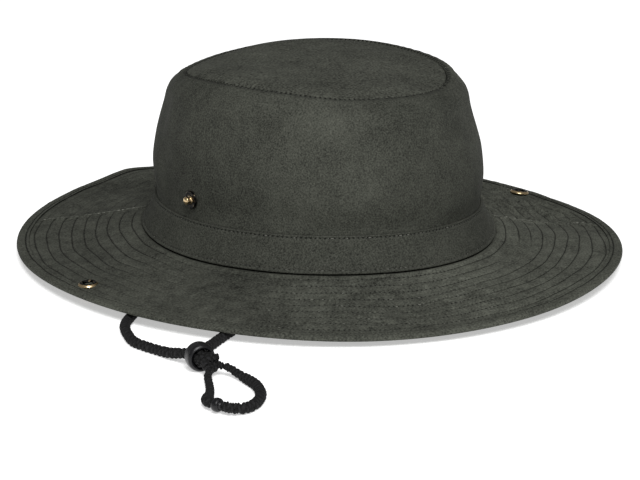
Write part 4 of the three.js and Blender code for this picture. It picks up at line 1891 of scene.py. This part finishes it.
@dataclass
class Braid:
    """Round braid: strands wound both ways, each way over the other by turns."""

    diameter: float = 4.8
    strands: int = 3
    lay: float = 9.3
    weave: float = 0.5
    crown: float = 1.35
    fullness: float = 1.13
    lead: float = math.pi / 6
    overlap: float = 1.05
    roundness: float = 0.55
    end_round: float = 1.2
    floor_gap: float = 0.03
    sides: int = 36
    spacing: float = 0.33

    def radius(self, angle: np.ndarray, run: np.ndarray) -> np.ndarray:
        """Distance of the cord's face from its middle.

        Each strand is a round ridge that winds round the cord, and rises and sinks by a cosine
        with the strands that it crosses. The face is the highest ridge at each place. Slow waves
        make the lay and the strands' places a little uneven.

        Args:
            angle: angle round the cord.
            run: distance along it.

        Returns:
            The distance in millimetres.
        """
        turn = TAU * run / self.lay + 0.22 * np.sin(run * 0.83) + 0.14 * np.sin(run * 2.1 + 1.0)
        middle = self.diameter / 2 - self.crown - self.weave * 0.6
        face = np.full(np.broadcast(angle, run).shape, middle)
        half = math.pi / self.strands * self.overlap
        for way in (1, -1):
            over = way * np.cos(self.strands * turn)
            for strand in range(self.strands):
                place = TAU * strand / self.strands + self.lead + 0.16 * math.sin(2.4 * strand + way)
                off = (angle - way * turn - place + math.pi) % TAU - math.pi
                ridge = np.clip(1 - (off / half) ** 2, 0, 1) ** self.roundness
                face = np.maximum(face, middle + self.weave * over + self.crown * ridge)
        return face

    def rings(
        self, path: np.ndarray, ends: float, girth: Sequence[tuple[float, float]] = ((0, 1), (1, 1)),
    ) -> tuple[np.ndarray, np.ndarray]:
        """Rings of the braid along a path, drawn in to round ends and flattened where they lie.

        Args:
            path: evenly spaced points.
            ends: how much smaller the first and last ring are.
            girth: (distance along the path, share of the full thickness) pairs.

        Returns:
            rings, sides, 3, and the height of each point in the weave, 1 on a level strand.
        """
        run = run_along(path)
        first, second = carried_frames(path)
        angle = turns_of(self.sides)
        room = np.minimum(run, run[-1] - run)
        taper = (ends + (1 - ends) * np.sqrt(climb(room, self.end_round))) * row_curve(run, *zip(*girth))
        weave = self.radius(angle[None, :], run[:, None])
        radius = weave * taper[:, None] * self.fullness
        cos, sin = np.cos(angle)[None, :, None], np.sin(angle)[None, :, None]
        rings = path[:, None] + radius[..., None] * (cos * first[:, None] + sin * second[:, None])
        rings[..., 2] = np.maximum(rings[..., 2], self.floor_gap)
        return rings, weave / (self.diameter / 2)


@dataclass
class ChinCord:
    """The chin cord: two strands from the crown to a slider, and a loop with a bead beyond it."""

    wardrobe: Wardrobe
    braid: Braid = field(default_factory=Braid)
    slider_face: tuple[float, float, float] = (-174.1, -132, 7.3)
    heading: float = 254.4
    slider_length: float = 8.0
    slider_outer: float = 7.3
    slider_hole: float = 4.5
    slider_sides: int = 72
    bead_radius: float = 3.5
    bead_clear: float = 1.2
    bead_sides: int = 56
    strand_ends: float = 0.75
    route_step: int = 6
    knot_ends: float = 0.35
    knot_sides: int = 32
    packing: Route = (
        (-2.0, 0.2, 0.76), (1.6, 1.0, 0.8), (1.4, -1.6, 0.8), (-1.4, -2.6, 0.6), (-0.6, 2.6, 0.6),
        (-3.0, -1.0, 0.5))
    branch: tuple[float, float, float] = (5.0, 2.0, -1.0)
    cut_ends: tuple[Route, ...] = (
        ((5.0, 1.5, 1.0), (6.0, 4.6, 2.3), (6.0, 6.6, 2.4)),
        ((6.0, 2.0, -1.0), (7.2, 3.8, -3.4), (7.4, 4.6, -4.6)),
    )

    def __post_init__(self) -> None:
        """Works out the slider's axes."""
        angle = math.radians(self.heading)
        self.ahead = np.array([math.cos(angle), math.sin(angle), 0.0])
        self.aside = np.array([-self.ahead[1], self.ahead[0], 0.0])
        self.face = np.array(self.slider_face)

    def strand(
        self, name: str, route: Route, length: float, pieces: list, far_end: str = "fitting",
        girth: Sequence[tuple[float, float]] = ((0, 1), (1, 1)),
    ) -> None:
        """Args:
            name: the stretch's name, which its node in the frame has after "cord_".
            route: the route's points.
            length: real length in metres; not used.
            pieces: the separate pieces on it; not used.
            far_end: what is on its far end; not used.
            girth: (distance, share) pairs of its thickness.
        """
        path = smooth_route(route, self.braid.spacing)
        rings, weave = self.braid.rings(path, self.strand_ends, girth)
        wrapped = np.concatenate([weave, weave[:, :1]], axis=1)
        uv = np.stack([np.zeros_like(wrapped), wrapped], axis=-1)
        piece = keep(ring_mesh(name, rings, self.wardrobe.yarn, False, uv), "braided_cord", f"cord_{name}")
        self.braid.diameter * MM

    def build_slider(self) -> bpy.types.Object:
        """Builds the slider: a short thick ring with a rounded rim and a flared hole."""
        outer, hole, length = self.slider_outer, self.slider_hole, self.slider_length
        profile = [
            (hole, 1.8), (hole + 0.1, 0.8), (hole + 0.7, 0.1), (outer - 1.2, 0.0), (outer - 0.35, 0.4),
            (outer, 1.4), (outer, length - 1.8), (outer - 0.4, length - 0.7), (outer - 1.3, length),
            (hole + 1.2, length), (hole + 0.4, length - 0.5), (hole, length - 1.6),
        ]
        closed = rounded([profile[-1], *profile, profile[0]], 3, 0.35)[1:-1]
        rings = aim(turned_rings(closed, self.slider_sides), self.face - self.ahead * length, self.ahead)
        piece = ring_mesh("slider", rings, self.wardrobe.plastic, True)
        return keep(piece, "black_plastic", "cord_slider")

    def build_knot(self) -> bpy.types.Object:
        """Builds the knot: strands packed in the slider's hole, the wrap in front of it, two cut
        ends beside the wrap and the starts of the loop's two branches."""
        axes = np.stack([self.ahead, self.aside, UP])
        bodies = [self._tube([(-8.9, y, z), (2.2, 0.9 * y, z)], scale) for y, z, scale in self.packing]
        turn = np.linspace(0, TAU * 1.85, 26)
        along = 4.6 + (turn / TAU - 0.95) * 3.2
        wrap = np.stack([along, 2.0 + 2.5 * np.cos(turn), -0.7 + 2.7 * np.sin(turn)], axis=1)
        bodies.append(self._tube(wrap, 0.82))
        bodies += [self._tube(end, 0.78) for end in self.cut_ends]
        start = np.array(self.branch)
        for end in (LOOP_OUT[0], LOOP_BACK[-1]):
            away = axes @ (np.array(end) - self.face)
            bodies.append(self._tube([start, 0.5 * (away + start), away], 0.74))
        points, faces = join_bodies(bodies)
        weave = points[:, 3]
        uv = np.stack([np.zeros_like(weave), weave], axis=-1)[faces]
        piece = put_mesh("knot", points[:, :3], [faces], self.wardrobe.yarn, [uv])
        return keep(piece, "braided_cord", "cord_knot")

    def _tube(self, route: Route, scale: float) -> tuple[np.ndarray, np.ndarray]:
        """A closed braided tube as points, each with its height in the weave, and quads.

        Args:
            route: points ahead of, aside from and above the middle of the slider's face.
            scale: share of the cord's full thickness.

        Returns:
            Points and quads.
        """
        places = np.asarray(route, float) @ np.stack([self.ahead, self.aside, UP]) + self.face
        path = smooth_route(places, self.braid.spacing)
        slim = Braid(diameter=self.braid.diameter * scale, sides=self.knot_sides)
        rings, weave = slim.rings(path, self.knot_ends)
        rings = np.concatenate([rings, weave[..., None]], axis=-1)
        tips = np.broadcast_to(rings.mean(axis=1, keepdims=True), rings.shape)
        closed = np.concatenate([tips[:1], rings, tips[-1:]])
        return closed.reshape(-1, 4), faces_of(*closed.shape[:2], False)

    def build_bead(self) -> bpy.types.Object:
        """Builds the bead where the loop turns back: a short barrel with a rounded rim."""
        start, end = np.array(LOOP_OUT[-1]), np.array(LOOP_BACK[0])
        axis = end - start
        span = float(np.linalg.norm(axis)) - 2 * self.bead_clear
        radius = self.bead_radius
        neck = self.bead_clear - 0.1
        profile = [
            (1.7, -neck), (2.0, 0.3), (2.3, 0.0), (radius - 0.9, 0.05), (radius - 0.3, 0.5), (radius, 1.3),
            (radius, span - 1.3), (radius - 0.3, span - 0.5), (radius - 0.9, span - 0.05), (2.3, span),
            (2.0, span - 0.3), (1.7, span + neck),
        ]
        turned = turned_rings(rounded(profile, 3), self.bead_sides)
        rings = aim(turned, start + unit(axis) * self.bead_clear, axis)
        return keep(ring_mesh("bead", rings, self.wardrobe.plastic, False), "black_plastic", "cord_bead")

    def build(self) -> None:
        """Builds the slider, knot, bead and the four stretches of cord."""
        slider, knot, bead = self.build_slider(), self.build_knot(), self.build_bead()
        self.strand("strand_short", SHORT_STRAND, 0.179, [slider])
        self.strand("strand_long", LONG_STRAND, 0.290, [knot])
        self.strand("loop_out", LOOP_OUT, 0.073, [bead], girth=((0, 0.74), (9, 0.80), (20, 1.0), (80, 1.0)))
        self.strand("loop_back", LOOP_BACK, 0.0445, [], "knot",
                    girth=((0, 0.85), (4, 0.98), (9, 1.14), (14, 0.95), (22, 0.78), (46, 0.7)))


@dataclass
class CordTab:
    """A folded tape tab inside the crown that holds one end of the cord."""

    wardrobe: Wardrobe
    side: Side
    place: float = 83.5
    thick: float = 3.4
    width: float = 12.0
    low: float = 15.0
    high: float = 30.0
    sides: int = 40

    def build(self) -> bpy.types.Object:
        """Builds the tab: flat rounded rings up its height, drawn in at both ends by a high power of
        the height and fuller in a bell near the foot, where it holds the cord."""
        z = np.concatenate([[0, 0.03, 0.09], np.linspace(0.16, 0.84, 14), [0.91, 0.97, 1]])
        end = np.sqrt(np.clip(1 - np.abs(2 * z - 1) ** 14, 0.05, 1))
        full = (0.42 + 0.08 * bell(z - 0.2, 0.16)) * end
        angle = turns_of(self.sides)
        x = np.sign(np.cos(angle)) * np.abs(np.cos(angle)) ** 0.6
        y = np.sign(np.sin(angle)) * np.abs(np.sin(angle)) ** 0.35
        rings = np.stack([
            self.side.sign * self.place + full[:, None] * self.thick * x,
            0.49 * end[:, None] * self.width * y,
            np.broadcast_to((self.low + z * (self.high - self.low))[:, None], (len(z), self.sides)),
        ], axis=-1)
        uv = sewing_uv(self.sides, 0.0, np.full(len(z), FAR))
        word = self.side.word
        piece = ring_mesh(f"tab_{word}", rings, self.wardrobe.cloth, False, uv)
        return keep(piece, "oilskin", f"cord_tab_{word}")


# Studio

@dataclass
class Studio:
    """Camera, floor, an even surround and one soft light. Sizes are in metres, angles in degrees."""

    azimuth: float = -37.558
    elevation: float = 17.131
    roll: float = 0.404
    distance: float = 1.498
    aside: float = 0.001689
    height: float = 0.004235
    focal_pixels: float = 2588.26
    image_width: int = 640
    sensor: float = 36.0
    view_end: float = 50.0
    floor_half: float = 6.0
    surround: float = 0.22
    light_azimuth: float = -32.0
    light_elevation: float = 49.0
    light_distance: float = 4.5
    light_aim: float = 0.06
    light_size: float = 2.2
    light_power: float = 196.0

    @staticmethod
    def way_back(azimuth: float, elevation: float) -> Vector:
        """Direction from the hat to a place round and above it, by its two angles in degrees."""
        a, e = math.radians(azimuth), math.radians(elevation)
        return Vector((math.sin(a) * math.cos(e), -math.cos(a) * math.cos(e), math.sin(e)))

    def build_camera(self) -> None:
        """Places the camera: it looks from the distance back along its axis and rolls a little."""
        a, r = math.radians(self.azimuth), math.radians(self.roll)
        right = Vector((math.cos(a), math.sin(a), 0))
        back = self.way_back(self.azimuth, self.elevation)
        up = back.cross(right)
        x, y = right * math.cos(r) - up * math.sin(r), right * math.sin(r) + up * math.cos(r)
        target = right * self.aside + Vector((0, 0, self.height))
        data = bpy.data.cameras.new("camera")
        data.sensor_width = self.sensor
        data.lens = self.focal_pixels / self.image_width * self.sensor
        data.clip_end = self.view_end
        camera = bpy.data.objects.new("camera", data)
        turn = Matrix((x, y, back)).transposed().to_4x4()
        camera.matrix_world = Matrix.Translation(target + back * self.distance) @ turn
        bpy.context.scene.collection.objects.link(camera)
        bpy.context.scene.camera = camera

    def build_floor(self) -> None:
        """Lays a plain pale floor."""
        half = self.floor_half / MM
        points = np.array([[-half, -half, 0], [half, -half, 0], [half, half, 0], [-half, half, 0]])
        piece = put_mesh("floor", points, [np.array([[0, 1, 2, 3]])], PaleFloor("pale_floor").material())

    def build_lights(self) -> None:
        """Lights the scene: an even pale surround and one soft light from the front and above."""
        world = bpy.data.worlds.new("surround")
        world.use_nodes = True
        sky = world.node_tree.nodes["Background"]
        sky.inputs["Color"].default_value = (1, 1, 1, 1)
        sky.inputs["Strength"].default_value = self.surround
        bpy.context.scene.world = world
        back = self.way_back(self.light_azimuth, self.light_elevation)
        data = bpy.data.lights.new("front_light", "AREA")
        data.energy = self.light_power
        data.size = self.light_size
        light = bpy.data.objects.new("front_light", data)
        light.location = back * self.light_distance + Vector((0, 0, self.light_aim))
        light.rotation_euler = back.to_track_quat("Z", "Y").to_euler()
        bpy.context.scene.collection.objects.link(light)
        bpy.context.scene.view_settings.view_transform = "Standard"

    def build(self) -> None:
        """Builds the camera, the floor and the lights."""
        self.build_camera()
        self.build_floor()
        self.build_lights()


def main() -> None:
    """Builds the camera, the cord and then the hat from the crown out."""
    logging.basicConfig(level=logging.INFO, format="%(message)s")
    Studio().build()
    form, wardrobe = HatForm(), Wardrobe()
    needle = Needlework(wardrobe.thread)
    ChinCord(wardrobe).build()
    Crown(form, wardrobe, needle).build()
    Band(form, wardrobe, needle).build()
    Brim(form, wardrobe, needle).build()
    for side in Side:
        Snap(form, wardrobe, side).build()
        CordTab(wardrobe, side).build()


if __name__ == "__main__":
    main()
